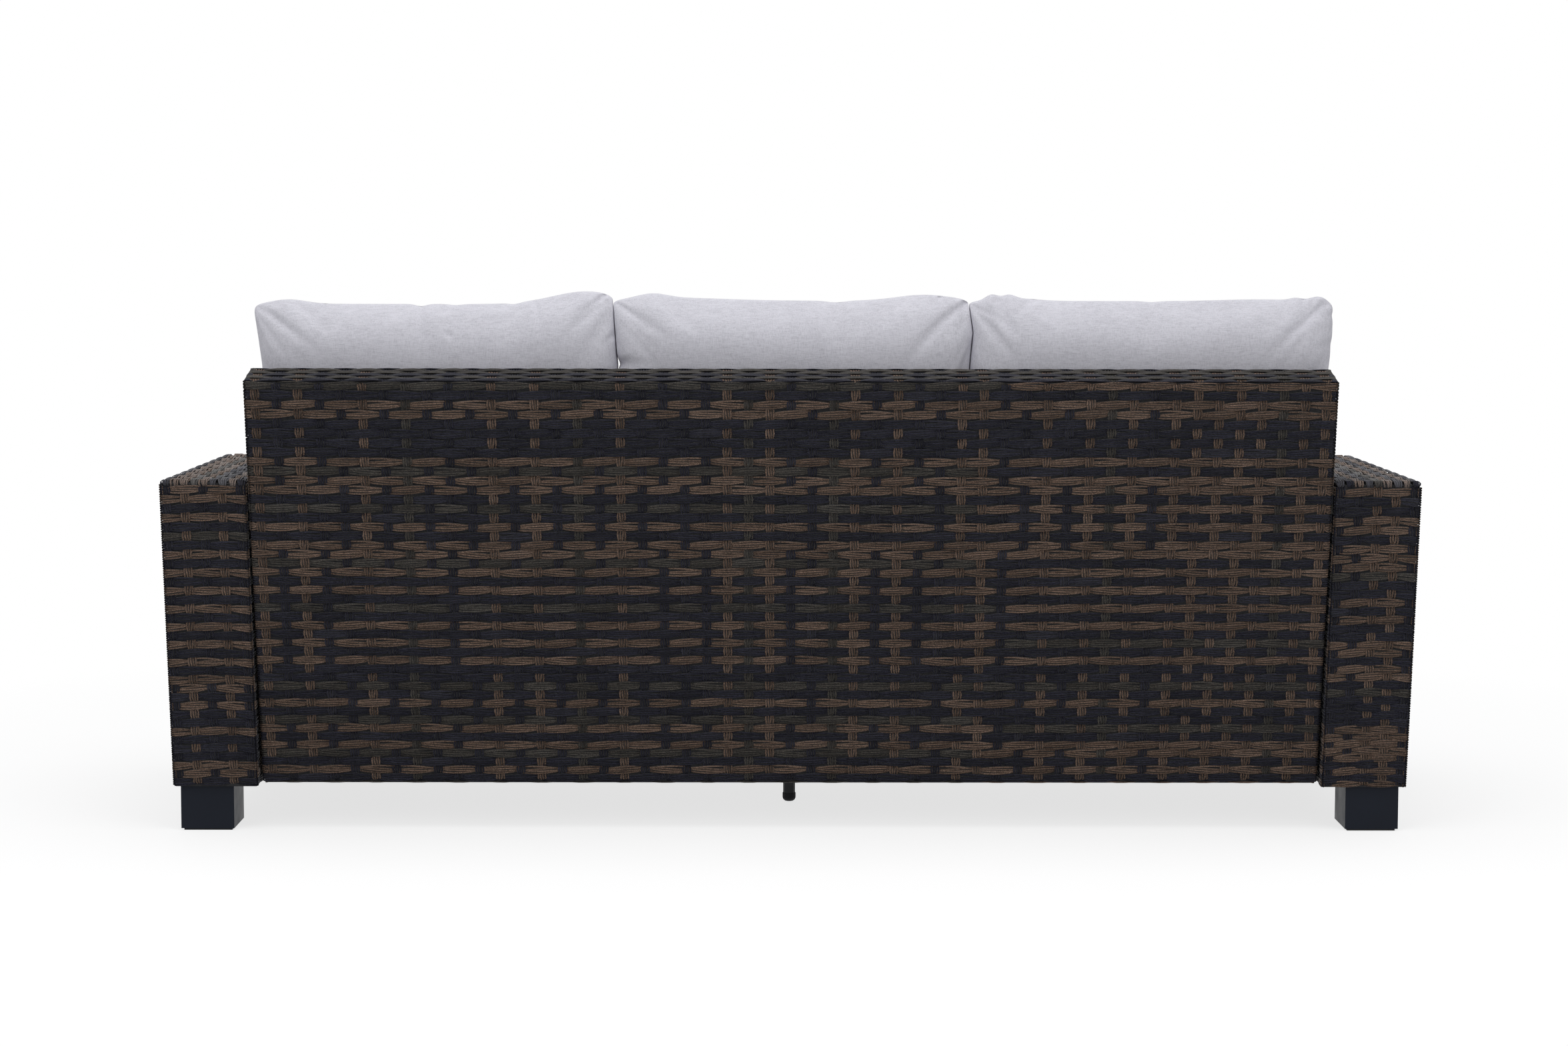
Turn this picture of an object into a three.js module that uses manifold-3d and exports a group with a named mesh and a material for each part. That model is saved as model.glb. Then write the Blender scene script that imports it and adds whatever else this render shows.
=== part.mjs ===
// A three-seat rattan garden sofa: two woven box arms, a leaning woven back, a woven seat deck on a
// tube frame, four block feet, a centre support leg, three seat cushions and three back cushions.
// X runs along the sofa (its left is +X), Y runs from the front to the back, Z is up.
// The origin is on the floor, in the middle of the whole sofa. All lengths are in millimetres.

import * as THREE from 'three';
import { mergeVertices } from 'three/addons/utils/BufferGeometryUtils.js';
import Module from 'manifold-3d';

const wasm = await Module();
wasm.setup();

// Clearances
const fitGap = 0.3;
const cutOverrun = 5;

// Whole sofa
const overallWidth = 1950;

// Woven skin
const skinThickness = 6;
const hemWidth = 26;

// Arms
const armWidth = 135.5;
const armHeight = 562;
const armUnderside = 71;
const armTopLength = 600;
const armFrontRadius = 100;
const armLean = THREE.MathUtils.degToRad(9.4);

// Back panel
const backLean = THREE.MathUtils.degToRad(12.2);
const backHeight = 720;
const backUnderside = 75;
const backThickness = 79;
const backFlushHeight = 400;
const backSideGap = 3;

// Tubes inside the arms and the back
const tube = 20;
const footPlateThickness = 5;
const backHoopCount = 4;

// Seat frame and its woven deck
const deckHeight = 300;
const deckThickness = 4;
const railWidth = 25;
const railHeight = 28;
const crossBarWidth = 20;
const centreBarWidth = 44;
const crossBarCount = 7;
const apronSetback = 18.5;
const apronUnderside = 110;
const apronUprightCount = 3;

// Block feet and their glides
const footWidth = 84;
const footDepth = 93;
const footSideInset = 10;
const footEndInset = 12;
const glideThickness = 3;
const glideMargin = 4;

// Centre support leg
const legSetback = 272;
const legRadius = 10;
const legWall = 1.5;
const legFlangeRadius = 20;
const legFlangeThickness = 3;
const capRadius = 11;
const capRim = 14;
const capDome = 7;
const capFlatRadius = 4;
const capPlugDepth = 12;

// Bolts and screws
const boltRadius = 4;
const boltHeadRadius = 7;
const boltHeadHeight = 5;
const footBoltRecess = 9;
const footBoltRecessRadius = 9;
const armBoltCount = 3;
const backBoltCount = 4;
const screwRadius = 2.2;
const screwHeadRadius = 4;
const screwHeadHeight = 2.4;
const screwLength = 14;

// Cushions
const cushionCount = 3;
const cushionGap = 1.5;
const seatCushionThickness = 128;
const seatCushionCrown = 12;
const seatCushionOverhang = 7;
const backCushionThickness = 150;
const backCushionFlattening = 25;
const backCushionTop = 846;
const backCushionSeam = 10;
const cushionDrawIn = 8;
const cushionTravel = 450;

// How round the cushions are: higher powers are squarer
const boxCushionPower = 9;
const pillowCornerPower = 12;
const pillowFullnessPower = 3;
const crownPower = 6;

// Facets
const arcSegments = 8;
const roundSegments = 16;
const cushionLengthFacets = 14;
const cushionDepthFacets = 12;
const cushionWallFacets = 4;

// Places worked out from the sizes above
const halfWidth = overallWidth / 2;
const armInnerX = halfWidth - armWidth;
const armRearTop = (armHeight - armUnderside) * Math.tan(armLean);
const armFront = armRearTop - armTopLength - armFrontRadius;
const backHalfWidth = armInnerX - backSideGap;
const backDepth = backThickness / Math.cos(backLean);
const railTop = deckHeight - deckThickness - fitGap;
const railBottom = railTop - railHeight;
const railMiddle = (railTop + railBottom) / 2;
const apronFront = armFront + apronSetback;
const railFront = apronFront + skinThickness + fitGap;
const railRear = backFrontAt(railBottom) - fitGap;
const railOuterX = armInnerX - fitGap;
const railInnerX = railOuterX - railWidth;
const seatTop = deckHeight + fitGap + seatCushionThickness + seatCushionCrown;
const cushionPitch = 2 * armInnerX / cushionCount;
const cushionWidth = cushionPitch - cushionGap;
const frameInset = skinThickness + fitGap;
const armFrameBottom = armUnderside + frameInset;
const backFrameBottom = backUnderside + frameInset;
const footHeight = armUnderside - glideThickness - 2 * fitGap;
const holeRadius = boltRadius + fitGap;
const centreShift = -(armFront + backRearAt(backHeight)) / 2;

// Y of the arms' rear face at a height
function armRearAt(z) {
  return (z - armUnderside) * Math.tan(armLean);
}

// Y of the back panel's rear face at a height: it is flush with the arms at one height only
function backRearAt(z) {
  return armRearAt(backFlushHeight) + (z - backFlushHeight) * Math.tan(backLean);
}

// Y of the back panel's front face at a height
function backFrontAt(z) {
  return backRearAt(z) - backThickness / Math.cos(backLean);
}

// Materials
function finish(color, roughness, metalness = 0) {
  return new THREE.MeshStandardMaterial({ color, roughness, metalness });
}

const rattan = finish(0x3f3835, 0.7);
const powderCoat = finish(0x2b2d30, 0.55, 0.3);
const footBlack = finish(0x1c2128, 0.5);
const softPlastic = finish(0x17181a, 0.65);
const zincSteel = finish(0xa9abae, 0.35, 1);
const linenGrey = finish(0xc8c8d0, 0.95);

// Helpers
function named(name, geometry, material) {
  const mesh = new THREE.Mesh(geometry, material);
  mesh.name = name;
  return mesh;
}

function toSolid(geometry) {
  const bare = geometry.clone();
  bare.deleteAttribute('normal');
  bare.deleteAttribute('uv');
  const merged = mergeVertices(bare);
  return new wasm.Manifold(new wasm.Mesh({
    numProp: 3,
    vertProperties: new Float32Array(merged.attributes.position.array),
    triVerts: new Uint32Array(merged.index.array),
  }));
}

function toGeometry(solid) {
  const mesh = solid.getMesh();
  const geometry = new THREE.BufferGeometry();
  geometry.setAttribute('position', new THREE.BufferAttribute(mesh.vertProperties, mesh.numProp));
  geometry.setIndex(new THREE.BufferAttribute(mesh.triVerts, 1));
  geometry.computeVertexNormals();
  return geometry;
}

function joined(geometries) {
  return geometries.map(toSolid).reduce((whole, piece) => whole.add(piece));
}

function cut(solid, cutters) {
  return toGeometry(cutters.map(toSolid).reduce((rest, cutter) => rest.subtract(cutter), solid));
}

function block(fromX, toX, fromY, toY, fromZ, toZ) {
  const geometry = new THREE.BoxGeometry(
    Math.abs(toX - fromX), Math.abs(toY - fromY), Math.abs(toZ - fromZ));
  return geometry.translate((fromX + toX) / 2, (fromY + toY) / 2, (fromZ + toZ) / 2);
}

// A round rod between two points
function rod(radius, from, to) {
  const along = new THREE.Vector3().subVectors(to, from);
  const geometry = new THREE.CylinderGeometry(radius, radius, along.length(), roundSegments);
  const turn = new THREE.Quaternion().setFromUnitVectors(
    new THREE.Vector3(0, 1, 0), along.clone().normalize());
  geometry.applyQuaternion(turn);
  const middle = new THREE.Vector3().addVectors(from, to).multiplyScalar(0.5);
  return geometry.translate(middle.x, middle.y, middle.z);
}

// Points of a side outline are (y, z), and the outline is swept along X
const sidewaysBasis = new THREE.Matrix4().makeBasis(
  new THREE.Vector3(0, 1, 0), new THREE.Vector3(0, 0, 1), new THREE.Vector3(1, 0, 0));

function sweep(outline, fromX, toX) {
  const geometry = new THREE.ExtrudeGeometry(
    outline, { depth: toX - fromX, bevelEnabled: false, curveSegments: arcSegments });
  geometry.applyMatrix4(sidewaysBasis);
  return geometry.translate(fromX, 0, 0);
}

// A bolt that points along its own +Z from under its head, which hangs below the origin
function boltGeometry(radius, headRadius, headHeight, length) {
  const profile = [
    [0, -headHeight], [headRadius, -headHeight], [headRadius, 0],
    [radius, 0], [radius, length], [0, length],
  ].map(([r, z]) => new THREE.Vector2(r, z));
  const geometry = new THREE.LatheGeometry(profile, roundSegments);
  return geometry.rotateX(Math.PI / 2);
}

// The outline of an arm seen from its side, drawn in by an inset and cut off level at its bottom
function armOutline(inset, bottom) {
  const rearInset = inset / Math.cos(armLean);
  const top = armHeight - inset;
  const arcY = armFront + armFrontRadius;
  const arcZ = armHeight - armFrontRadius;
  const shape = new THREE.Shape();
  shape.moveTo(armRearAt(bottom) - rearInset, bottom);
  shape.lineTo(armRearAt(top) - rearInset, top);
  shape.lineTo(arcY, top);
  shape.absarc(arcY, arcZ, armFrontRadius - inset, Math.PI / 2, Math.PI, false);
  shape.lineTo(armFront + inset, bottom);
  shape.closePath();
  return shape;
}

// The outline of the back panel seen from its side: its top is square to its faces
function backOutline(inset, bottom) {
  const slope = Math.tan(backLean);
  const face = inset / Math.cos(backLean);
  const rear = (z) => backRearAt(z) - face;
  const front = (z) => backFrontAt(z) + face;
  const rearTopZ = backHeight - inset * Math.cos(backLean) + inset * Math.sin(backLean);
  const width = backThickness - 2 * inset;
  const frontTopZ = rearTopZ + width * Math.sin(backLean);
  const shape = new THREE.Shape();
  shape.moveTo(rear(bottom), bottom);
  shape.lineTo(rear(backHeight) + (rearTopZ - backHeight) * slope, rearTopZ);
  shape.lineTo(front(frontTopZ), frontTopZ);
  shape.lineTo(front(bottom), bottom);
  shape.closePath();
  return shape;
}

// A ring of square tube inside an outline
function hoop(outlineAt, inset, bottom, fromX, toX) {
  const ring = outlineAt(inset, bottom);
  ring.holes.push(outlineAt(inset + tube, bottom + tube));
  return sweep(ring, fromX, toX);
}

// Places shared by an arm's skin, frame, feet and bolts, all measured from the arm's middle plane
const armHalf = armWidth / 2;
const footRearY = -footEndInset - footDepth / 2;
const footFrontY = armFront + footEndInset + footDepth / 2;
const footOffset = armHalf - footSideInset - footWidth / 2;

function spread(from, to, count) {
  return Array.from({ length: count }, (_, i) => from + (to - from) * (i + 1) / (count + 1));
}

const armBoltPlaces = spread(railFront, railRear, armBoltCount);
const backBoltPlaces = spread(-railInnerX, railInnerX, backBoltCount);

// An arm's woven skin is a shell, with a hem turned in under its lowest tubes
function armSkin(inward) {
  const shell = toSolid(sweep(armOutline(0, armUnderside), -armHalf, armHalf));
  const hollow = sweep(
    armOutline(skinThickness, armUnderside + skinThickness),
    skinThickness - armHalf, armHalf - skinThickness);
  const mouth = block(
    hemWidth - armHalf, armHalf - hemWidth,
    armFront + hemWidth, armRearAt(armUnderside) - hemWidth,
    armUnderside - cutOverrun, armUnderside + skinThickness + cutOverrun);
  const wall = inward * armHalf;
  const boltHoles = armBoltPlaces.map((y) => rod(
    holeRadius,
    new THREE.Vector3(wall + inward * cutOverrun, y, railMiddle),
    new THREE.Vector3(wall - inward * (skinThickness + cutOverrun), y, railMiddle)));
  return cut(shell, [hollow, mouth, ...boltHoles]);
}

// An arm's welded frame: two hoops, the tubes between them, a ledger for the seat and two foot plates
function armFrame(inward) {
  const outerFace = armHalf - frameInset;
  const hoopMiddle = outerFace - tube / 2;
  const hoops = [-1, 1].map((side) => hoop(
    armOutline, frameInset, armFrameBottom,
    side > 0 ? outerFace - tube : -outerFace, side > 0 ? outerFace : tube - outerFace));
  const topZ = armHeight - frameInset;
  const frontY = armFront + frameInset;
  const rearFace = (z) => armRearAt(z) - frameInset / Math.cos(armLean);
  const arcY = armFront + armFrontRadius;
  const spacer = (y, z) => block(-hoopMiddle, hoopMiddle, y, y + tube, z, z + tube);
  const spacers = [
    spacer(frontY, armFrameBottom),
    spacer(rearFace(armFrameBottom) - tube, armFrameBottom),
    spacer(rearFace(topZ - tube) - tube, topZ - tube),
    spacer((rearFace(topZ) + arcY) / 2, topZ - tube),
    spacer(arcY, topZ - tube),
    spacer(frontY, armHeight - armFrontRadius - tube),
  ];
  const ledgerX = inward * hoopMiddle;
  const ledger = block(
    ledgerX - tube / 2, ledgerX + tube / 2, frontY + tube / 2, rearFace(railBottom) - tube / 2,
    railBottom, railTop);
  const plates = [footRearY, footFrontY].map((y) => block(
    -hoopMiddle, hoopMiddle, y - footDepth / 2, y + footDepth / 2,
    armFrameBottom, armFrameBottom + footPlateThickness));
  const boltHoles = armBoltPlaces.map((y) => rod(
    holeRadius,
    new THREE.Vector3(ledgerX - tube, y, railMiddle),
    new THREE.Vector3(ledgerX + tube, y, railMiddle)));
  const footHoles = [footRearY, footFrontY].map((y) => rod(
    holeRadius,
    new THREE.Vector3(-inward * footOffset, y, armFrameBottom - cutOverrun),
    new THREE.Vector3(-inward * footOffset, y, armFrameBottom + tube)));
  return cut(joined([...hoops, ...spacers, ledger, ...plates]), [...boltHoles, ...footHoles]);
}

// A block foot, bored for its bolt and recessed below for the bolt's head
function footGeometry() {
  const body = toSolid(new THREE.BoxGeometry(footWidth, footDepth, footHeight));
  const top = footHeight / 2 + cutOverrun;
  const bore = rod(holeRadius, new THREE.Vector3(0, 0, -top), new THREE.Vector3(0, 0, top));
  const recess = rod(
    footBoltRecessRadius, new THREE.Vector3(0, 0, -top),
    new THREE.Vector3(0, 0, footBoltRecess - footHeight / 2));
  return cut(body, [bore, recess]);
}

// One foot with its glide and bolt, on the floor under an arm
function footGroup(end, sideName, y) {
  const group = new THREE.Group();
  const glide = named(
    `glide_${end}_${sideName}`,
    new THREE.BoxGeometry(footWidth - 2 * glideMargin, footDepth - 2 * glideMargin, glideThickness),
    softPlastic);
  glide.position.z = glideThickness / 2;
  const foot = named(`foot_${end}_${sideName}`, footGeometry(), footBlack);
  foot.position.z = glideThickness + fitGap + footHeight / 2;
  const headSeat = glideThickness + fitGap + footBoltRecess - fitGap;
  const boltLength = armFrameBottom + footPlateThickness + boltRadius - headSeat;
  const bolt = named(
    `foot_bolt_${end}_${sideName}`,
    boltGeometry(boltRadius, boltHeadRadius, boltHeadHeight, boltLength), zincSteel);
  bolt.position.z = headSeat;
  group.add(glide, foot, bolt);
  group.position.y = y;
  return group;
}

function armGroup(side, sideName) {
  const inward = -side;
  const group = new THREE.Group();
  group.add(named(`arm_weave_${sideName}`, armSkin(inward), rattan));
  group.add(named(`arm_frame_${sideName}`, armFrame(inward), powderCoat));
  const feet = [footGroup('rear', sideName, footRearY), footGroup('front', sideName, footFrontY)];
  feet.forEach((foot) => {
    foot.position.x = side * footOffset;
    group.add(foot);
  });
  const headFace = armHalf + fitGap + railWidth + fitGap;
  const boltEnd = armHalf - frameInset - tube;
  armBoltPlaces.forEach((y, i) => {
    const bolt = named(
      `arm_bolt_${sideName}_${i + 1}`,
      boltGeometry(boltRadius, boltHeadRadius, boltHeadHeight, headFace - boltEnd), zincSteel);
    bolt.rotation.y = side * Math.PI / 2;
    bolt.position.set(inward * headFace, y, railMiddle);
    group.add(bolt);
  });
  group.position.x = side * (halfWidth - armHalf);
  return group;
}

// The back's woven skin is a shell like the arms', with a hem turned in under it
function backSkin() {
  const shell = toSolid(sweep(backOutline(0, backUnderside), -backHalfWidth, backHalfWidth));
  const innerX = backHalfWidth - skinThickness;
  const hollow = sweep(backOutline(skinThickness, backUnderside + skinThickness), -innerX, innerX);
  const mouth = block(
    hemWidth - backHalfWidth, backHalfWidth - hemWidth,
    backFrontAt(backUnderside) + hemWidth, backRearAt(backUnderside) - hemWidth,
    backUnderside - cutOverrun, backUnderside + skinThickness + cutOverrun);
  const boltHoles = backBoltPlaces.map((x) => rod(
    holeRadius,
    new THREE.Vector3(x, backFrontAt(railMiddle) - cutOverrun, railMiddle),
    new THREE.Vector3(x, backFrontAt(railMiddle) + skinThickness + cutOverrun, railMiddle)));
  return cut(shell, [hollow, mouth, ...boltHoles]);
}

// The back's welded frame: upright hoops, rails along the sofa at the corners and one at seat height
function backFrame() {
  const endX = backHalfWidth - frameInset;
  const hoopStep = (2 * endX - tube) / (backHoopCount - 1);
  const hoops = Array.from({ length: backHoopCount }, (_, i) => hoop(
    backOutline, frameInset, backFrameBottom, -endX + i * hoopStep, -endX + i * hoopStep + tube));
  const up = new THREE.Vector2(Math.sin(backLean), Math.cos(backLean));
  const forward = new THREE.Vector2(-Math.cos(backLean), Math.sin(backLean));
  const corners = backOutline(frameInset, backFrameBottom).getPoints();
  const leaningRail = (corner, upSteps, forwardSteps) => {
    const near = corner.clone().addScaledVector(up, upSteps * tube)
      .addScaledVector(forward, forwardSteps * tube);
    const points = [[0, 0], [1, 0], [1, 1], [0, 1]].map(([u, f]) => near.clone()
      .addScaledVector(up, u * tube).addScaledVector(forward, f * tube));
    return sweep(new THREE.Shape(points.reverse()), tube / 2 - endX, endX - tube / 2);
  };
  const [, rearTop, frontTop] = corners;
  const floorZ = backFrameBottom;
  const rearY = backRearAt(floorZ) - frameInset / Math.cos(backLean);
  const frontY = backFrontAt(floorZ + tube) + frameInset / Math.cos(backLean);
  const level = (fromY, fromZ, height) => block(
    tube / 2 - endX, endX - tube / 2, fromY, fromY + tube, fromZ, fromZ + height);
  const ledgerY = backFrontAt(railTop) + frameInset / Math.cos(backLean);
  const rails = [
    leaningRail(rearTop, -1, 0),
    leaningRail(frontTop, -1, -1),
    level(rearY - tube, floorZ, tube),
    level(frontY, floorZ, tube),
    level(ledgerY, railBottom, railHeight),
  ];
  const boltHoles = backBoltPlaces.map((x) => rod(
    holeRadius,
    new THREE.Vector3(x, ledgerY - tube, railMiddle),
    new THREE.Vector3(x, ledgerY + 2 * tube, railMiddle)));
  return cut(joined([...hoops, ...rails]), boltHoles);
}

function backGroup() {
  const group = new THREE.Group();
  group.add(named('back_weave', backSkin(), rattan));
  group.add(named('back_frame', backFrame(), powderCoat));
  const headFace = railRear - railWidth - fitGap;
  const boltEnd = backFrontAt(railTop) + frameInset / Math.cos(backLean) + tube;
  backBoltPlaces.forEach((x, i) => {
    const bolt = named(
      `back_bolt_${i + 1}`,
      boltGeometry(boltRadius, boltHeadRadius, boltHeadHeight, boltEnd - headFace), zincSteel);
    bolt.rotation.x = -Math.PI / 2;
    bolt.position.set(x, headFace, railMiddle);
    group.add(bolt);
  });
  return group;
}

// A long rail along X with holes through it along Y
function drilledRail(fromY, holePlaces) {
  const rail = toSolid(block(
    fitGap - railInnerX, railInnerX - fitGap, fromY, fromY + railWidth, railBottom, railTop));
  const holes = holePlaces.map((x) => rod(
    holeRadius,
    new THREE.Vector3(x, fromY - cutOverrun, railMiddle),
    new THREE.Vector3(x, fromY + railWidth + cutOverrun, railMiddle)));
  return cut(rail, holes);
}

function sideRail(side) {
  const inner = side * railInnerX;
  const outer = side * railOuterX;
  const holes = armBoltPlaces.map((y) => rod(
    holeRadius,
    new THREE.Vector3(inner - side * cutOverrun, y, railMiddle),
    new THREE.Vector3(outer + side * cutOverrun, y, railMiddle)));
  return cut(toSolid(block(inner, outer, railFront, railRear, railBottom, railTop)), holes);
}

// The middle bar is wider than the others and takes the centre leg's screws
function crossBars() {
  const screwPlaces = [-1, 1].map((way) => legY + way * legScrewOffset);
  return spread(-railInnerX, railInnerX, crossBarCount).map((x, i) => {
    const isMiddle = i === (crossBarCount - 1) / 2;
    const width = isMiddle ? centreBarWidth : crossBarWidth;
    const bar = block(
      x - width / 2, x + width / 2, railFront + railWidth + fitGap, railRear - railWidth - fitGap,
      railBottom, railTop);
    const holes = screwPlaces.map((y) => rod(
      screwRadius + fitGap,
      new THREE.Vector3(x, y, railBottom - cutOverrun),
      new THREE.Vector3(x, y, railBottom + screwLength)));
    return named(
      `seat_cross_bar_${i + 1}`, isMiddle ? cut(toSolid(bar), holes) : bar, powderCoat);
  });
}

function apronPieces() {
  const sheet = block(
    -railOuterX, railOuterX, apronFront, apronFront + skinThickness, apronUnderside, railTop);
  const lowerTop = apronUnderside + skinThickness + tube;
  const lowerRail = block(
    -railOuterX, railOuterX, railFront, railFront + tube, apronUnderside + skinThickness, lowerTop);
  const uprights = spread(-railOuterX, railOuterX, apronUprightCount).map((x, i) => named(
    `apron_upright_${i + 1}`,
    block(
      x - tube / 2, x + tube / 2, railFront, railFront + tube, lowerTop + fitGap, railBottom - fitGap),
    powderCoat));
  return [
    named('front_apron_weave', sheet, rattan),
    named('apron_lower_rail', lowerRail, powderCoat),
    ...uprights,
  ];
}

function seatGroup() {
  const group = new THREE.Group();
  const deckRear = backFrontAt(railTop + fitGap) - fitGap;
  const deck = block(
    -railOuterX, railOuterX, apronFront, deckRear, railTop + fitGap, railTop + fitGap + deckThickness);
  group.add(
    named('seat_deck_weave', deck, rattan),
    named('seat_front_rail', drilledRail(railFront, []), powderCoat),
    named('seat_rear_rail', drilledRail(railRear - railWidth, backBoltPlaces), powderCoat),
    named('seat_side_rail_left', sideRail(1), powderCoat),
    named('seat_side_rail_right', sideRail(-1), powderCoat),
    ...crossBars(),
    ...apronPieces());
  return group;
}

// The centre leg is a tube with a flange on top, screwed under the seat's middle bar
const legY = -footEndInset - legSetback;
const legScrewOffset = (legRadius + legFlangeRadius) / 2;
const legTop = railBottom - fitGap;

function legGeometry() {
  const bottom = capRim + fitGap;
  const inner = legRadius - legWall;
  const profile = [
    [inner, bottom], [legRadius, bottom], [legRadius, legTop - legFlangeThickness],
    [legFlangeRadius, legTop - legFlangeThickness], [legFlangeRadius, legTop], [0, legTop],
    [0, legTop - legFlangeThickness], [inner, legTop - legFlangeThickness], [inner, bottom],
  ].map(([r, z]) => new THREE.Vector2(r, z));
  const solid = toSolid(new THREE.LatheGeometry(profile, roundSegments).rotateX(Math.PI / 2));
  const holes = [-1, 1].map((way) => rod(
    screwRadius + fitGap,
    new THREE.Vector3(0, way * legScrewOffset, legTop - legFlangeThickness - cutOverrun),
    new THREE.Vector3(0, way * legScrewOffset, legTop + cutOverrun)));
  return cut(solid, holes);
}

function capGeometry() {
  const plug = legRadius - legWall - fitGap;
  const dome = new THREE.EllipseCurve(
    capFlatRadius, capDome, capRadius - capFlatRadius, capDome, -Math.PI / 2, 0);
  const profile = [
    new THREE.Vector2(0, 0),
    ...dome.getPoints(arcSegments),
    new THREE.Vector2(capRadius, capRim),
    new THREE.Vector2(plug, capRim),
    new THREE.Vector2(plug, capRim + capPlugDepth),
    new THREE.Vector2(0, capRim + capPlugDepth),
  ];
  return new THREE.LatheGeometry(profile, roundSegments).rotateX(Math.PI / 2);
}

function legGroup() {
  const group = new THREE.Group();
  group.add(named('centre_leg', legGeometry(), powderCoat));
  group.add(named('centre_leg_cap', capGeometry(), softPlastic));
  ['rear', 'front'].forEach((end, i) => {
    const screw = named(
      `leg_screw_${end}`,
      boltGeometry(screwRadius, screwHeadRadius, screwHeadHeight, screwLength), zincSteel);
    screw.position.y = (1 - 2 * i) * legScrewOffset;
    screw.position.z = legTop - legFlangeThickness - fitGap;
    group.add(screw);
  });
  group.position.y = legY;
  return group;
}

// A soft form starts as a unit box whose facets crowd towards its edges
function softBox(facets, shapeAt) {
  const unit = new THREE.BoxGeometry(2, 2, 2, facets.x, facets.y, facets.z);
  unit.deleteAttribute('normal');
  unit.deleteAttribute('uv');
  const form = mergeVertices(unit);
  const position = form.attributes.position;
  const crowd = (share) => Math.sin(share * Math.PI / 2);
  for (let i = 0; i < position.count; i += 1) {
    const shares = new THREE.Vector3().fromBufferAttribute(position, i);
    const point = shapeAt(crowd(shares.x), crowd(shares.y), crowd(shares.z));
    position.setXYZ(i, point.x, point.y, point.z);
  }
  form.computeVertexNormals();
  return form;
}

// How far a point of a unit box comes in so that the box's edges and corners are rounded
function roundingShare(power, ...shares) {
  const largest = Math.max(...shares.map(Math.abs));
  const total = shares.reduce((sum, share) => sum + Math.abs(share) ** power, 0);
  return largest === 0 ? 1 : largest / total ** (1 / power);
}

function bulgeShare(power, a, b) {
  return Math.max(0, 1 - Math.abs(a) ** power) * Math.max(0, 1 - Math.abs(b) ** power);
}

// Everything past a plane is pressed flat onto it
function pressFlat(form, plane) {
  const position = form.attributes.position;
  for (let i = 0; i < position.count; i += 1) {
    const point = new THREE.Vector3().fromBufferAttribute(position, i);
    const past = plane.distanceToPoint(point);
    if (past > 0) {
      point.addScaledVector(plane.normal, -past);
      position.setXYZ(i, point.x, point.y, point.z);
    }
  }
  form.computeVertexNormals();
  return form;
}

// A boxed seat cushion: crowned top, level underside, sides drawn in between its corners
const seatCushionRear = backFrontAt(deckHeight) - cushionGap;
const seatCushionFront = apronFront - seatCushionOverhang;
const seatCushionDepth = seatCushionRear - seatCushionFront;

function seatCushionGeometry() {
  const halfX = cushionWidth / 2;
  const halfY = seatCushionDepth / 2;
  const halfZ = seatCushionThickness / 2;
  const facets = { x: cushionLengthFacets, y: cushionDepthFacets, z: cushionWallFacets };
  return softBox(facets, (u, v, w) => {
    const share = roundingShare(boxCushionPower, u, v, w);
    const crown = seatCushionCrown * bulgeShare(crownPower, u, v) * Math.max(0, w);
    return new THREE.Vector3(
      u * share * (halfX - cushionDrawIn * bulgeShare(2, v, 0)),
      v * share * (halfY - cushionDrawIn * bulgeShare(2, u, 0)),
      w * share * halfZ + crown);
  });
}

// A back cushion is a pillow: thickest in its middle, with a thin seam round its edge. It leans on the
// back panel and stands on the seat cushion, which press its rear face and its underside flat.
const pillowMiddle = backCushionThickness / 2 - backCushionFlattening;
const pillowFoot = new THREE.Vector2(
  backFrontAt(seatTop) - (pillowMiddle + fitGap) / Math.cos(backLean), seatTop);
const pillowLength = (backCushionTop - seatTop) / Math.cos(backLean) + backCushionFlattening;

function backCushionGeometry() {
  const halfX = cushionWidth / 2;
  const halfZ = pillowLength / 2;
  const fullHalf = backCushionThickness / 2;
  const facets = { x: cushionLengthFacets, y: 2, z: cushionDepthFacets };
  const form = softBox(facets, (u, v, w) => {
    const share = roundingShare(pillowCornerPower, u, w);
    const full = bulgeShare(pillowFullnessPower, u, w) ** 0.5;
    const halfY = backCushionSeam / 2 + (fullHalf - backCushionSeam / 2) * full;
    return new THREE.Vector3(
      u * share * (halfX - cushionDrawIn * bulgeShare(2, w, 0)),
      v * halfY,
      w * share * (halfZ - cushionDrawIn * bulgeShare(2, u, 0)) + halfZ - backCushionFlattening);
  });
  form.rotateX(-backLean);
  form.translate(0, pillowFoot.x, pillowFoot.y);
  const rearFacing = new THREE.Vector3(0, Math.cos(backLean), -Math.sin(backLean));
  const panelPoint = new THREE.Vector3(0, backFrontAt(seatTop), seatTop)
    .addScaledVector(rearFacing, -fitGap);
  pressFlat(form, new THREE.Plane().setFromNormalAndCoplanarPoint(rearFacing, panelPoint));
  const down = new THREE.Vector3(0, 0, -1);
  const seatPoint = new THREE.Vector3(0, 0, seatTop + fitGap);
  return pressFlat(form, new THREE.Plane().setFromNormalAndCoplanarPoint(down, seatPoint));
}

function cushionGroup(place, placeName) {
  const group = new THREE.Group();
  const seat = named(`seat_cushion_${placeName}`, seatCushionGeometry(), linenGrey);
  seat.position.y = (seatCushionFront + seatCushionRear) / 2;
  seat.position.z = deckHeight + fitGap + seatCushionThickness / 2;
  group.add(seat, named(`back_cushion_${placeName}`, backCushionGeometry(), linenGrey));
  group.position.x = place * cushionPitch;
  return group;
}

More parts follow.
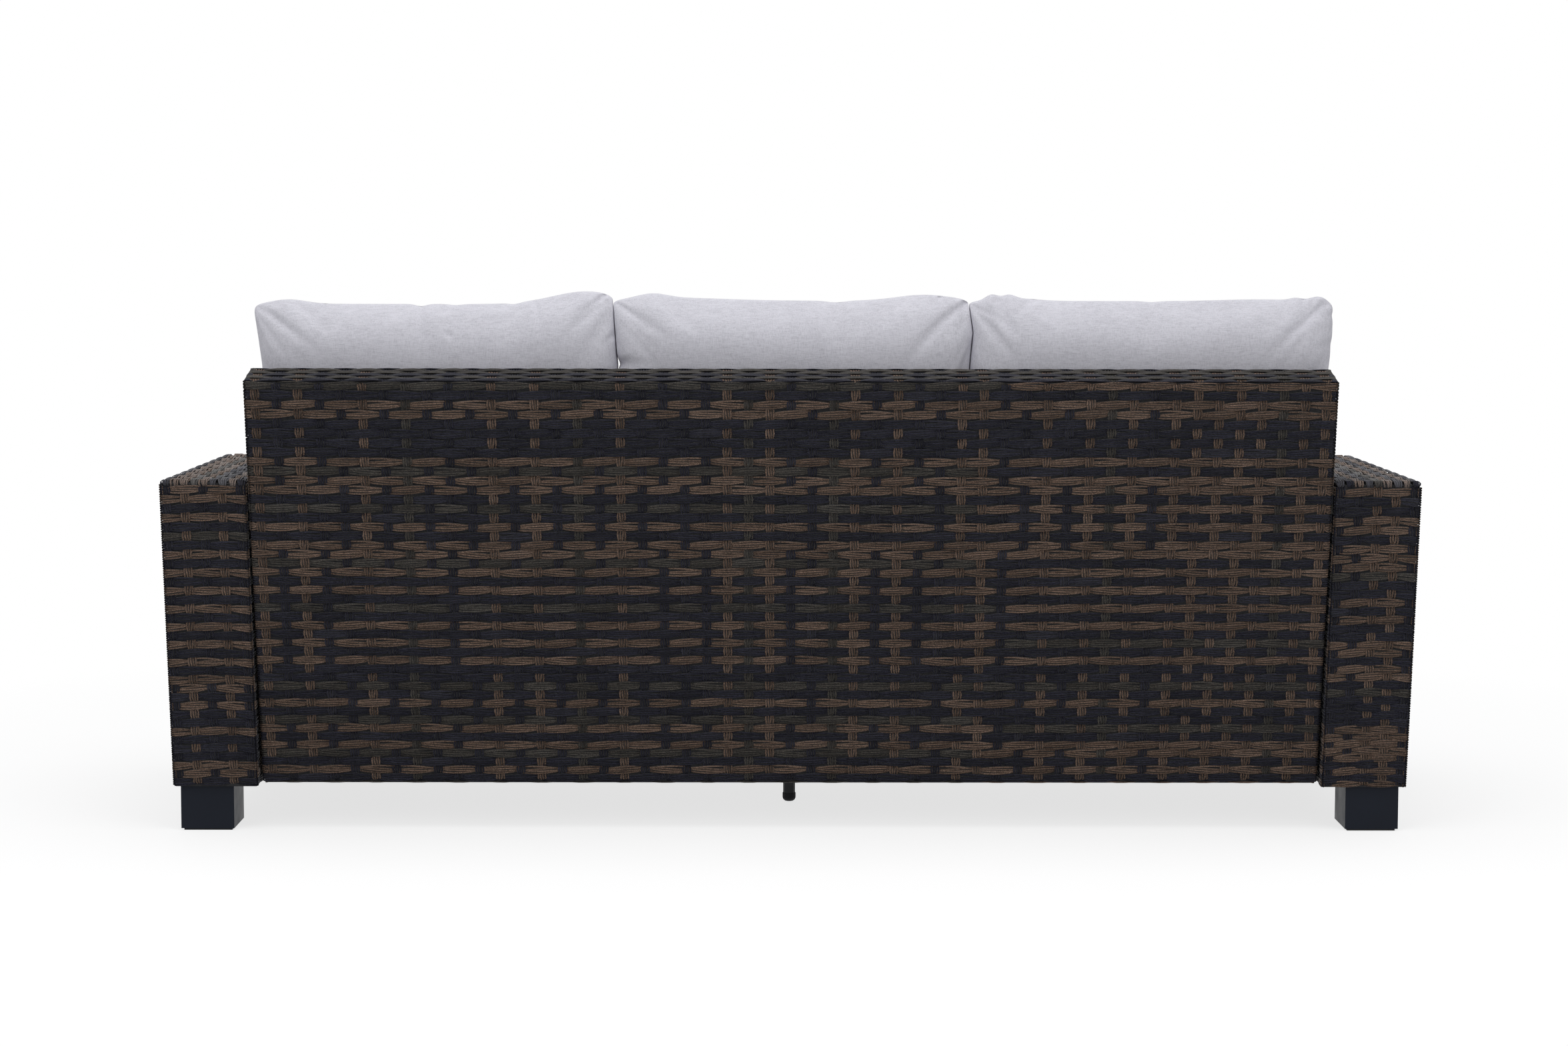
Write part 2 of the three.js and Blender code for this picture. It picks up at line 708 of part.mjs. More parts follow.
const sofa = new THREE.Group();
sofa.name = 'rattan_garden_sofa';
sofa.add(armGroup(1, 'left'), armGroup(-1, 'right'), backGroup(), seatGroup(), legGroup());
[[1, 'left'], [0, 'middle'], [-1, 'right']].forEach(([place, placeName]) => {
  sofa.add(cushionGroup(place, placeName));
});
sofa.position.y = centreShift;

export default sofa;
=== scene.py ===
"""A three-seat rattan garden sofa: its woven skins, cushions and finishes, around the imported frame."""

import logging
import math
import random
from collections.abc import Callable
from dataclasses import asdict, dataclass, field, replace
from enum import Enum

import bmesh
import bpy
import numpy as np
from mathutils import Matrix, Vector
from mathutils.bvhtree import BVHTree


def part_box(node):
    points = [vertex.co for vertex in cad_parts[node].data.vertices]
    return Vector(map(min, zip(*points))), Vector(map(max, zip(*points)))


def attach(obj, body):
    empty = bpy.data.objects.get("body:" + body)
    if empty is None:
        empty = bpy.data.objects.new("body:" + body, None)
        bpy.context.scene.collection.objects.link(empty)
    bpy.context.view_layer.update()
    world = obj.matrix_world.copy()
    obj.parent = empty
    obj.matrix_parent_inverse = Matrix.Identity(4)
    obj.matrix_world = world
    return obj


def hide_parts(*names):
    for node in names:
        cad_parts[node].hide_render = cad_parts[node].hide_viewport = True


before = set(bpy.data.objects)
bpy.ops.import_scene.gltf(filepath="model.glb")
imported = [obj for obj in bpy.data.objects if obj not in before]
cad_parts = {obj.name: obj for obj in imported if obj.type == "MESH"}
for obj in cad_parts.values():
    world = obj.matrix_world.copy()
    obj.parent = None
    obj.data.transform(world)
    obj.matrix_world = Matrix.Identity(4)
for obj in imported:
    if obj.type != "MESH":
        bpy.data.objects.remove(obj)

log = logging.getLogger("sofa")

Socket = bpy.types.NodeSocket
Tree = bpy.types.NodeTree
MM = 0.001
SHOULDER = 1 * MM
UNSTRETCHED = (1.0, 1.0, 1.0)

# The back panel, which the back cushions lean on
BACK_LEAN = math.radians(12.2)
BACK_TOP = 0.720
BACK_THICKNESS = 79 * MM


class Wire:
    """A value that flows through a node tree, with the sums that the trees need."""

    def __init__(self, tree: Tree, socket: Socket) -> None:
        """Keep the tree and the socket that gives the value."""
        self.tree = tree
        self.socket = socket

    def math(self, operation: str, *others: "Wire | float") -> "Wire":
        """Add a Math node.

        Args:
            operation: the Math node's operation.
            others: its second and third operands.

        Returns:
            The result.
        """
        node = self.tree.nodes.new("ShaderNodeMath")
        node.operation = operation
        for index, value in enumerate((self, *others)):
            plug(self.tree, node.inputs[index], value)
        return Wire(self.tree, node.outputs[0])

    def __add__(self, other: "Wire | float") -> "Wire":
        """Add."""
        return self.math("ADD", other)

    def __sub__(self, other: "Wire | float") -> "Wire":
        """Subtract."""
        return self.math("SUBTRACT", other)

    def __mul__(self, other: "Wire | float") -> "Wire":
        """Multiply."""
        return self.math("MULTIPLY", other)

    def __pow__(self, other: "Wire | float") -> "Wire":
        """Raise to a power."""
        return self.math("POWER", other)


def plug(tree: Tree, socket: Socket, value: object) -> None:
    """Link a wire to a socket, or write a plain value on it.

    Args:
        tree: the tree that holds both.
        socket: the input to feed.
        value: a wire, a socket, or a value to set.
    """
    if isinstance(value, Wire):
        tree.links.new(value.socket, socket)
    elif isinstance(value, bpy.types.NodeSocket):
        tree.links.new(value, socket)
    else:
        socket.default_value = value


def add_node(tree: Tree, kind: str, inputs: dict | None = None, **settings: object) -> bpy.types.Node:
    """Add a node to a tree.

    Args:
        tree: the tree.
        kind: the node's type.
        inputs: values or wires by input name or index.
        settings: the node's own properties.

    Returns:
        The node.
    """
    node = tree.nodes.new(kind)
    for name, value in settings.items():
        setattr(node, name, value)
    for key, value in (inputs or {}).items():
        plug(tree, node.inputs[key], value)
    return node


def out(node: bpy.types.Node, key: str | int = 0) -> Wire:
    """The named output of a node, as a wire."""
    return Wire(node.id_data, node.outputs[key])


def linear(red: int, green: int, blue: int) -> tuple[float, float, float, float]:
    """Turn a colour of 0 to 255 a channel into the linear values that shaders take.

    Args:
        red: red as seen on a screen.
        green: green as seen on a screen.
        blue: blue as seen on a screen.

    Returns:
        Linear red, green, blue and full alpha.
    """
    channels = []
    for value in (red, green, blue):
        part = value / 255
        channels.append(part / 12.92 if part <= 0.04045 else ((part + 0.055) / 1.055) ** 2.4)
    return channels[0], channels[1], channels[2], 1.0


def shaded(colour: tuple[float, ...], factor: float) -> tuple[float, float, float, float]:
    """The same colour, darker or lighter."""
    return tuple(min(1.0, part * factor) for part in colour[:3]) + (1.0,)


# Finishes


class Finish:
    """What every finish shares: it builds its material once and hands it out."""

    name: str

    def material(self) -> bpy.types.Material:
        """Find or build this finish's material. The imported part's own materials have the bare names.

        Returns:
            The material.
        """
        title = f"{self.name}_finish"
        found = bpy.data.materials.get(title)
        if found:
            return found
        material = bpy.data.materials.new(title)
        material.use_nodes = True
        shader = material.node_tree.nodes["Principled BSDF"]
        self.dress(material.node_tree, shader)
        return material

    def dress(self, tree: Tree, shader: bpy.types.Node) -> None:
        """Add this finish's nodes around the shader."""
        raise NotImplementedError


def place_on(tree: Tree, scale: tuple[float, float, float] = UNSTRETCHED) -> Wire:
    """Give object coordinates to a finish.

    Args:
        tree: the finish's tree.
        scale: what each axis is multiplied by; under 1 draws the pattern out along it.

    Returns:
        The scaled coordinates, in metres.
    """
    where = add_node(tree, "ShaderNodeTexCoord")
    mapping = add_node(tree, "ShaderNodeMapping", {"Vector": out(where, "Object"), "Scale": scale})
    return out(mapping)


def noise(tree: Tree, vector: Wire, scale: float, detail: float = 2.0, rough: float = 0.5) -> Wire:
    """Smooth noise from 0 to 1 at the places of a vector."""
    inputs = {"Vector": vector, "Scale": scale, "Detail": detail, "Roughness": rough}
    return out(add_node(tree, "ShaderNodeTexNoise", inputs), 0)


def blend_colours(tree: Tree, factor: Wire, low: object, high: object) -> Wire:
    """Mix two colours, low at 0 and high at 1."""
    node = add_node(tree, "ShaderNodeMix", {0: factor, 6: low, 7: high}, data_type="RGBA")
    return Wire(tree, node.outputs[2])


def stretch(tree: Tree, value: Wire, low: float, high: float,
            to_low: float = 0.0, to_high: float = 1.0) -> Wire:
    """Spread a value from one range to another, held inside it."""
    inputs = {0: value, 1: low, 2: high, 3: to_low, 4: to_high}
    return out(add_node(tree, "ShaderNodeMapRange", inputs), 0)


def bump(tree: Tree, height: Wire, depth: float, strength: float = 1.0) -> Wire:
    """A bump of a depth in metres from a height of 0 to 1."""
    inputs = {"Height": height, "Distance": depth, "Strength": strength}
    return out(add_node(tree, "ShaderNodeBump", inputs))


@dataclass(frozen=True)
class ResinStrand(Finish):
    """Flat woven resin strand: heathered, with fine lengthwise grooves and a dull wax-like gloss."""

    name: str
    colour: tuple[float, float, float, float]
    fleck: tuple[float, float, float, float]
    # painted sheen: the pale grey that strands turn toward where their tone runs past 1, standing in for the
    # white surroundings reflected at a grazing angle
    faded: tuple[float, float, float, float] = linear(122, 121, 122)
    most_faded: float = 0.62
    roughness: float = 0.5
    grain: float = 860.0
    drift: float = 55.0

    def dress(self, tree: Tree, shader: bpy.types.Node) -> None:
        """Strand by strand tone and flecks, a paler grey of painted sheen where the loom raised the tone, and
        painted shade on the strands' inner sides and tucked ends.

        Args:
            tree: the material's tree.
            shader: its Principled BSDF.
        """
        tone = out(add_node(tree, "ShaderNodeAttribute", attribute_name="tone"), "Fac")
        strand = out(add_node(tree, "ShaderNodeAttribute", attribute_name="strand"), "Fac")
        here = place_on(tree)
        heather = noise(tree, here, self.grain, 1.0, 0.5)
        drift = noise(tree, here, self.drift, 2.0, 0.5)
        fleck = stretch(tree, heather, 0.40, 0.62)
        sheenless = blend_colours(tree, fleck, shaded(self.colour, 0.7), self.fleck)
        # painted sheen: a tone past 0.9 mixes the colour toward the pale grey, up to the given share
        ground = blend_colours(tree, stretch(tree, tone, 0.9, 2.9, 0.0, self.most_faded), sheenless, self.faded)
        # random tone, strand and drift brighten or darken each strand; on the arm tops the raised tone also
        # brightens them as painted sheen
        level = tone * 0.35 + strand * 0.45 + drift * 0.4
        bright = stretch(tree, level, 0.2, 1.2, 0.52, 1.6)
        side = out(add_node(tree, "ShaderNodeAttribute", attribute_name="edge"), "Fac")
        tuck = out(add_node(tree, "ShaderNodeAttribute", attribute_name="tuck"), "Fac")
        # painted shade: the strands' inner sides go almost black, deepening the gaps between them, and their
        # ends darken where they dive behind the stakes
        lit = bright * (side * -0.97 + 1.0) * ((tuck ** 5.0) * -0.7 + 1.0)
        scaled = add_node(tree, "ShaderNodeVectorMath", {0: ground, 3: lit}, operation="SCALE")
        plug(tree, shader.inputs["Base Color"], out(scaled))
        rough = stretch(tree, heather, 0.3, 0.7, self.roughness - 0.07, self.roughness + 0.12)
        plug(tree, shader.inputs["Roughness"], rough)
        shader.inputs["Specular IOR Level"].default_value = 0.06
        shader.inputs["Sheen Weight"].default_value = 0.2
        shader.inputs["Sheen Roughness"].default_value = 0.25
        plug(tree, shader.inputs["Normal"], bump(tree, heather, 0.12 * MM, 0.6))


@dataclass(frozen=True)
class PaintedShadeSheet(Finish):
    """A near-black sheet of painted shade inside the weave, seen only between the strands."""

    name: str = "weave_lining"
    colour: tuple[float, float, float, float] = linear(17, 17, 20)
    grain: float = 220.0

    def dress(self, tree: Tree, shader: bpy.types.Node) -> None:
        """A rough dark ground with lighter and darker places.

        Args:
            tree: the material's tree.
            shader: its Principled BSDF.
        """
        patches = noise(tree, place_on(tree), self.grain, 3.0, 0.6)
        colour = blend_colours(tree, patches, shaded(self.colour, 0.6), shaded(self.colour, 1.5))
        plug(tree, shader.inputs["Base Color"], colour)
        plug(tree, shader.inputs["Roughness"], stretch(tree, patches, 0.3, 0.7, 0.75, 0.95))
        plug(tree, shader.inputs["Normal"], bump(tree, patches, 0.6 * MM))


@dataclass(frozen=True)
class Linen(Finish):
    """Light grey linen-like outdoor cloth: uneven yarns both ways, heathered, matt with a faint sheen."""

    name: str = "linen_grey"
    colour: tuple[float, float, float, float] = linear(222, 221, 229)
    shade: tuple[float, float, float, float] = linear(194, 193, 201)
    yarn: float = 850.0
    yarn_draw: float = 0.11
    slub: float = 210.0
    slub_draw: float = 0.2
    cloud: float = 14.0

    def dress(self, tree: Tree, shader: bpy.types.Node) -> None:
        """Long thin noise along each axis makes the yarns, coarse noise the heather, and the seams get
        painted shade.

        Args:
            tree: the material's tree.
            shader: its Principled BSDF.
        """
        drawn = self.yarn_draw
        along_x = noise(tree, place_on(tree, (drawn, 1.0, 1.0)), self.yarn, 2.0, 0.7)
        along_y = noise(tree, place_on(tree, (1.0, drawn, 1.0)), self.yarn, 2.0, 0.7)
        along_z = noise(tree, place_on(tree, (1.0, 1.0, drawn)), self.yarn, 2.0, 0.7)
        yarns = along_x * 0.42 + along_y * 0.22 + along_z * 0.36
        slub = noise(tree, place_on(tree, (self.slub_draw, 1.0, 1.0)), self.slub, 2.0, 0.5)
        cloud = noise(tree, place_on(tree), self.cloud, 2.0, 0.5)
        level = yarns * 0.8 + slub * 0.12 + cloud * 0.08
        fleck = stretch(tree, level, 0.38, 0.55)
        # painted shade: the cloth turns much darker along the seams, where their fold would be in shade
        seam = out(add_node(tree, "ShaderNodeAttribute", attribute_name="seam"), "Fac")
        seam_shade = stretch(tree, seam, 0.72, 0.92)
        cloth = blend_colours(tree, fleck, self.shade, self.colour)
        plug(tree, shader.inputs["Base Color"], blend_colours(tree, seam_shade, cloth, shaded(self.shade, 0.3)))
        plug(tree, shader.inputs["Roughness"], stretch(tree, yarns, 0.4, 0.6, 0.8, 0.95))
        shader.inputs["Specular IOR Level"].default_value = 0.2
        shader.inputs["Sheen Weight"].default_value = 0.12
        shader.inputs["Sheen Roughness"].default_value = 0.5
        plug(tree, shader.inputs["Normal"], bump(tree, yarns, 0.5 * MM, 0.8))


@dataclass(frozen=True)
class Coated(Finish):
    """A coated or moulded hard surface, with a fine texture and faint cloudy wear."""

    name: str
    colour: tuple[float, float, float, float]
    roughness: float
    grain: float
    depth: float
    metallic: float = 0.0
    specular: float = 0.3
    cloud: float = 18.0

    def dress(self, tree: Tree, shader: bpy.types.Node) -> None:
        """Orange peel or moulded grain, with slow changes of tone and gloss.

        Args:
            tree: the material's tree.
            shader: its Principled BSDF.
        """
        here = place_on(tree)
        peel = noise(tree, here, self.grain, 2.0, 0.5)
        cloud = noise(tree, here, self.cloud, 3.0, 0.6)
        tint = blend_colours(tree, cloud, shaded(self.colour, 0.82), shaded(self.colour, 1.2))
        plug(tree, shader.inputs["Base Color"], tint)
        low = self.roughness - 0.06
        plug(tree, shader.inputs["Roughness"], stretch(tree, cloud, 0.3, 0.7, low, self.roughness + 0.08))
        shader.inputs["Metallic"].default_value = self.metallic
        shader.inputs["Specular IOR Level"].default_value = self.specular
        plug(tree, shader.inputs["Normal"], bump(tree, peel, self.depth, 0.6))


CHARCOAL = ResinStrand("rattan_charcoal", linear(30, 30, 37), linear(50, 50, 61))
BROWN = ResinStrand("rattan_brown", linear(76, 63, 55), linear(122, 102, 89))
OLIVE = ResinStrand("rattan_olive", linear(47, 45, 43), linear(82, 78, 73))
PAINTED_SHADE = PaintedShadeSheet()
LINEN = Linen()
POWDER_COAT = Coated("powder_coat", linear(44, 46, 48), 0.42, 1500.0, 0.12 * MM)
FOOT_BLACK = Coated("foot_black", linear(27, 31, 40), 0.4, 900.0, 0.05 * MM, specular=0.12)
SOFT_PLASTIC = Coated("soft_plastic", linear(26, 27, 30), 0.6, 1800.0, 0.08 * MM)
ZINC = Coated("zinc_steel", linear(172, 174, 176), 0.3, 2600.0, 0.02 * MM, metallic=1.0)


# Weaving


class Dye(Enum):
    """The three colours of strand."""

    CHARCOAL = "c"
    BROWN = "b"
    OLIVE = "o"

    def finish(self) -> ResinStrand:
        """The finish of this colour."""
        return {Dye.CHARCOAL: CHARCOAL, Dye.BROWN: BROWN, Dye.OLIVE: OLIVE}[self]


class Stitch(Enum):
    """The units that the weave is laid from."""

    OVER_A = 0
    OVER_B = 1
    OVER_C = 2
    OVER_D = 3
    END_A = 4
    END_B = 5
    STAKE_A = 6
    STAKE_B = 7
    TURN = 8


OVERS = (Stitch.OVER_A, Stitch.OVER_B, Stitch.OVER_C, Stitch.OVER_D)
ENDS = (Stitch.END_A, Stitch.END_B)
STAKES = (Stitch.STAKE_A, Stitch.STAKE_B)
CORNER_SEGMENTS = 3


def new_tree(name: str, sizes: dict[str, float | int]) -> tuple[Tree, dict[str, Wire]]:
    """Start a geometry node group with named inputs.

    Args:
        name: the group's name.
        sizes: each input's name and its default; a whole number makes an integer input.

    Returns:
        The group, and a wire from each of its inputs by name.
    """
    tree = bpy.data.node_groups.new(name, "GeometryNodeTree")
    tree.interface.new_socket("Geometry", in_out="OUTPUT", socket_type="NodeSocketGeometry")
    for label, value in sizes.items():
        kind = "NodeSocketInt" if isinstance(value, int) else "NodeSocketFloat"
        socket = tree.interface.new_socket(label, in_out="INPUT", socket_type=kind)
        socket.default_value = value
    start = tree.nodes.new("NodeGroupInput")
    return tree, {label: out(start, label) for label in sizes}


def close_tree(tree: Tree, geometry: object) -> None:
    """Send the finished geometry to the group's output."""
    end = tree.nodes.new("NodeGroupOutput")
    plug(tree, end.inputs[0], geometry)


def note(tree: Tree, geometry: Wire, name: str, value: Wire) -> Wire:
    """Write a value on each point of a geometry, for the finish to read.

    Args:
        tree: the tree.
        geometry: the geometry.
        name: the attribute's name.
        value: what is written.

    Returns:
        The geometry with the value on it.
    """
    inputs = {"Geometry": geometry, "Name": name, "Value": value}
    node = add_node(tree, "GeometryNodeStoreNamedAttribute", inputs, data_type="FLOAT", domain="POINT")
    return out(node)


def strand_profile(tree: Tree, width: Wire, height: Wire) -> Wire:
    """Add the cross-section of one flat strand: a low trapezoid whose wide side lies inwards.

    Args:
        tree: the tree.
        width: the strand's width.
        height: its thickness.

    Returns:
        The closed outline, with its inner side marked as edge, where the strand finish paints shade.
    """
    inputs = {"Bottom Width": width * 0.6, "Top Width": width, "Offset": 0.0, "Height": height}
    shape = add_node(tree, "GeometryNodeCurvePrimitiveQuadrilateral", inputs, mode="TRAPEZOID")
    where = add_node(tree, "ShaderNodeSeparateXYZ", {0: out(add_node(tree, "GeometryNodeInputPosition"))})
    # the inner side is marked for the painted shade between strands
    return note(tree, out(shape), "edge", out(where, "Y").math("GREATER_THAN", 0.0))


def strand_random(tree: Tree, rank: Socket, seed: object, low: float, high: float) -> Wire:
    """Add a fixed random value for each strand of a bundle.

    Args:
        tree: the tree.
        rank: the strand's number in its bundle.
        seed: the random stream.
        low: the least value.
        high: the greatest value.

    Returns:
        The value.
    """
    node = add_node(tree, "FunctionNodeRandomValue", {2: low, 3: high}, data_type="FLOAT")
    plug(tree, node.inputs["ID"], rank)
    plug(tree, node.inputs["Seed"], seed)
    return Wire(tree, node.outputs[1])


def bundle_tree(bent: bool) -> Tree:
    """Build the group that makes one bundle of strands: straight and bowed, or bent round a corner.

    The straight one runs along X, from Start to 1, and dives at its end. The bent one comes along X to
    the corner at the origin, and leaves it down -Z.

    Args:
        bent: True for the bundle that turns the corner.

    Returns:
        The group.
    """
    sizes = {"Strands": 4, "Segments": 5, "Start": -1.0, "Mid Pitch": 3.45 * MM, "End Pitch": 1.6 * MM,
             "Crest": 0.95 * MM, "Dive": 2.6 * MM, "Skew": 0.8 * MM, "Corner Radius": 5.0 * MM,
             "Strand Width": 3.6 * MM, "Strand Height": 1.5 * MM, "Seed": 0}
    tree, given = new_tree("corner_bundle" if bent else "strand_bundle", sizes)
    first = add_node(tree, "ShaderNodeCombineXYZ", {0: given["Start"]})
    line = add_node(tree, "GeometryNodeCurvePrimitiveLine", {"Start": out(first), "End": (1.0, 0.0, 0.0)})
    count = given["Segments"] + 1.0
    fine = add_node(tree, "GeometryNodeResampleCurve", {"Curve": out(line), "Count": count})
    copies = add_node(tree, "GeometryNodeDuplicateElements",
                      {"Geometry": out(fine), "Amount": given["Strands"]}, domain="SPLINE")
    rank = copies.outputs["Duplicate Index"]
    across = Wire(tree, rank) - (given["Strands"] - 1.0) * 0.5
    where = add_node(tree, "ShaderNodeSeparateXYZ", {0: out(add_node(tree, "GeometryNodeInputPosition"))})
    run = out(where, "X")
    lift = strand_random(tree, rank, given["Seed"] + 11.0, -0.35 * MM, 0.35 * MM)
    skew = strand_random(tree, rank, given["Seed"], -1.0, 1.0) * given["Skew"]
    if bent:
        angle = run * (math.pi / 2)
        reach = given["Corner Radius"] - given["Crest"]
        new_x = angle.math("SINE") * reach - given["Corner Radius"]
        new_z = angle.math("COSINE") * reach - given["Corner Radius"]
        new_y = across * given["Mid Pitch"]
    else:
        far = run.math("ABSOLUTE")
        pitch = given["Mid Pitch"] - (far ** 2.2) * (given["Mid Pitch"] - given["End Pitch"])
        new_x = run
        new_y = across * pitch + skew * run
        new_z = lift * far - given["Crest"] - (far ** 2.6) * given["Dive"]
    spot = add_node(tree, "ShaderNodeCombineXYZ", {0: new_x, 1: new_y, 2: new_z})
    bowed = add_node(tree, "GeometryNodeSetPosition", {"Geometry": copies.outputs[0], "Position": out(spot)})
    shade = strand_random(tree, rank, given["Seed"] + 5.0, 0.0, 1.0)
    marked = note(tree, out(bowed), "strand", shade)
    if not bent:
        # how far out along the strand a point lies, for the painted shade at its tucked ends
        marked = note(tree, marked, "tuck", far)
    profile = strand_profile(tree, given["Strand Width"], given["Strand Height"])
    skin = add_node(tree, "GeometryNodeCurveToMesh",
                    {"Curve": marked, "Profile Curve": profile, "Fill Caps": True})
    close_tree(tree, out(skin))
    return tree


@dataclass(frozen=True)
class Gauge:
    """The sizes of the weave, in metres."""

    strands: int = 4
    segments: int = 5
    stake_segments: int = 2
    strand_width: float = 3.35 * MM
    strand_height: float = 1.6 * MM
    over_pitch: float = 3.65 * MM
    tuck_pitch: float = 1.9 * MM
    stake_pitch: float = 4.0 * MM
    stake_tuck: float = 3.2 * MM
    crest: float = 1.1 * MM
    stake_crest: float = 1.5 * MM
    dive: float = 3.1 * MM
    skew: float = 2.8 * MM
    corner_radius: float = 5.0 * MM

    def inputs(self) -> dict[str, float | int]:
        """The weave tree's named inputs: the fields' names in words, with their values."""
        return {name.replace("_", " ").title(): value for name, value in asdict(self).items()}


FINE_GAUGE = Gauge()
PLAIN_GAUGE = Gauge(strands=3, segments=4, strand_width=5.1 * MM, over_pitch=4.9 * MM,
                    tuck_pitch=2.6 * MM, stake_pitch=5.2 * MM, stake_tuck=4.4 * MM)
TOP_GAUGE = Gauge(crest=-1.7 * MM, dive=5.1 * MM, stake_crest=1.9 * MM, skew=2.4 * MM, over_pitch=3.5 * MM)
DECK_GAUGE = replace(PLAIN_GAUGE, strand_height=1.0 * MM, crest=0.6 * MM, stake_crest=0.8 * MM, dive=1.5 * MM)


class WeaveTree:
    """The node group that sets a bundle of strands on every laid point."""

    def __init__(self) -> None:
        """Build the two bundle groups and the group that places them."""
        self.straight = bundle_tree(bent=False)
        self.bent = bundle_tree(bent=True)
        self.tree = self.build()

    def bundle(self, tree: Tree, given: dict[str, Wire], stitch: Stitch) -> Wire:
        """Add the bundle of one stitch, with its own sizes and seed.

        Args:
            tree: the placing group.
            given: its inputs by name.
            stitch: which stitch.

        Returns:
            The bundle's mesh.
        """
        shape = self.bent if stitch is Stitch.TURN else self.straight
        group = add_node(tree, "GeometryNodeGroup", node_tree=shape)
        upright = stitch in STAKES
        wanted = {"Strands": given["Strands"], "Strand Width": given["Strand Width"],
                  "Strand Height": given["Strand Height"], "Dive": given["Dive"],
                  "Corner Radius": given["Corner Radius"], "Seed": stitch.value * 17 + 3,
                  "Segments": given["Stake Segments"] if upright else given["Segments"],
                  "Mid Pitch": given["Stake Pitch"] if upright else given["Over Pitch"],
                  "End Pitch": given["Stake Tuck"] if upright else given["Tuck Pitch"],
                  "Crest": given["Stake Crest"] if upright else given["Crest"],
                  "Skew": given["Skew"] * 0.5 if upright else given["Skew"],
                  "Start": 0.0 if stitch in ENDS or stitch is Stitch.TURN else -1.0}
        if stitch is Stitch.TURN:
            wanted["Segments"] = CORNER_SEGMENTS
        for name, value in wanted.items():
            plug(tree, group.inputs[name], value)
        return out(group)

    def build(self) -> Tree:
        """Build the placing group.

        Returns:
            The group, whose first input is the mesh of laid points.
        """
        tree = bpy.data.node_groups.new("weave", "GeometryNodeTree")
        tree.interface.new_socket("Geometry", in_out="OUTPUT", socket_type="NodeSocketGeometry")
        tree.interface.new_socket("Geometry", in_out="INPUT", socket_type="NodeSocketGeometry")
        for label, value in FINE_GAUGE.inputs().items():
            kind = "NodeSocketInt" if isinstance(value, int) else "NodeSocketFloat"
            tree.interface.new_socket(label, in_out="INPUT", socket_type=kind).default_value = value
        tree.interface.new_socket("Material", in_out="INPUT", socket_type="NodeSocketMaterial")
        start = tree.nodes.new("NodeGroupInput")
        given = {label: out(start, label) for label in FINE_GAUGE.inputs()}
        points = add_node(tree, "GeometryNodeMeshToPoints", {"Mesh": out(start, "Geometry")})
        kinds = add_node(tree, "GeometryNodeInputNamedAttribute", {"Name": "stitch"}, data_type="INT")
        headings = add_node(tree, "GeometryNodeInputNamedAttribute", {"Name": "heading"}, data_type="FLOAT")
        spans = add_node(tree, "GeometryNodeInputNamedAttribute", {"Name": "span"}, data_type="FLOAT")
        turned = add_node(tree, "ShaderNodeCombineXYZ", {2: out(headings)})
        scaled = add_node(tree, "ShaderNodeCombineXYZ", {0: out(spans), 1: 1.0, 2: 1.0})
        joined = tree.nodes.new("GeometryNodeJoinGeometry")
        for stitch in Stitch:
            chosen = add_node(tree, "FunctionNodeCompare", {2: out(kinds), 3: stitch.value},
                              data_type="INT", operation="EQUAL")
            placed = add_node(tree, "GeometryNodeInstanceOnPoints",
                              {"Points": out(points), "Selection": out(chosen),
                               "Instance": self.bundle(tree, given, stitch),
                               "Rotation": out(turned), "Scale": out(scaled)})
            tree.links.new(placed.outputs[0], joined.inputs[0])
        real = add_node(tree, "GeometryNodeRealizeInstances", {0: out(joined)})
        smooth = add_node(tree, "GeometryNodeSetShadeSmooth", {"Geometry": out(real), "Shade Smooth": True})
        dressed = add_node(tree, "GeometryNodeSetMaterial",
                           {"Geometry": out(smooth), "Material": out(start, "Material")})
        close_tree(tree, out(dressed))
        return tree


def set_inputs(modifier: bpy.types.Modifier, values: dict[str, object]) -> None:
    """Write a node modifier's inputs by the names of their sockets.

    Args:
        modifier: the modifier, whose group is set already.
        values: a value for each named input.
    """
    for item in modifier.node_group.interface.items_tree:
        if item.item_type == "SOCKET" and item.in_out == "INPUT" and item.name in values:
            modifier[item.identifier] = values[item.name]


def add_piece(name: str, mesh: bpy.types.Mesh, body: str) -> bpy.types.Object:
    """Add a finished mesh as a piece that rides on a body.

    Args:
        name: the piece's name.
        mesh: its mesh, already in place.
        body: the body that carries it.

    Returns:
        The piece.
    """
    piece = bpy.data.objects.new(name, mesh)
    bpy.context.scene.collection.objects.link(piece)
    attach(piece, body)
    return piece


@dataclass(frozen=True)
class Course:
    """One row of weaving in the flat: a runs along the row, s along the stakes."""

    s: float
    first: float
    last: float
    stakes: tuple[float, ...]
    shown: int
    dye: Dye
    stake_dyes: tuple[Dye, ...]
    turn_first: bool = True
    turn_last: bool = True
    lengthwise: bool = False
    join: float = math.inf
    joined_dye: Dye | None = None

    def dye_at(self, a: float) -> Dye:
        """The row's colour at a place along it: past the join it goes on in another colour."""
        return self.joined_dye if self.joined_dye and a > self.join else self.dye


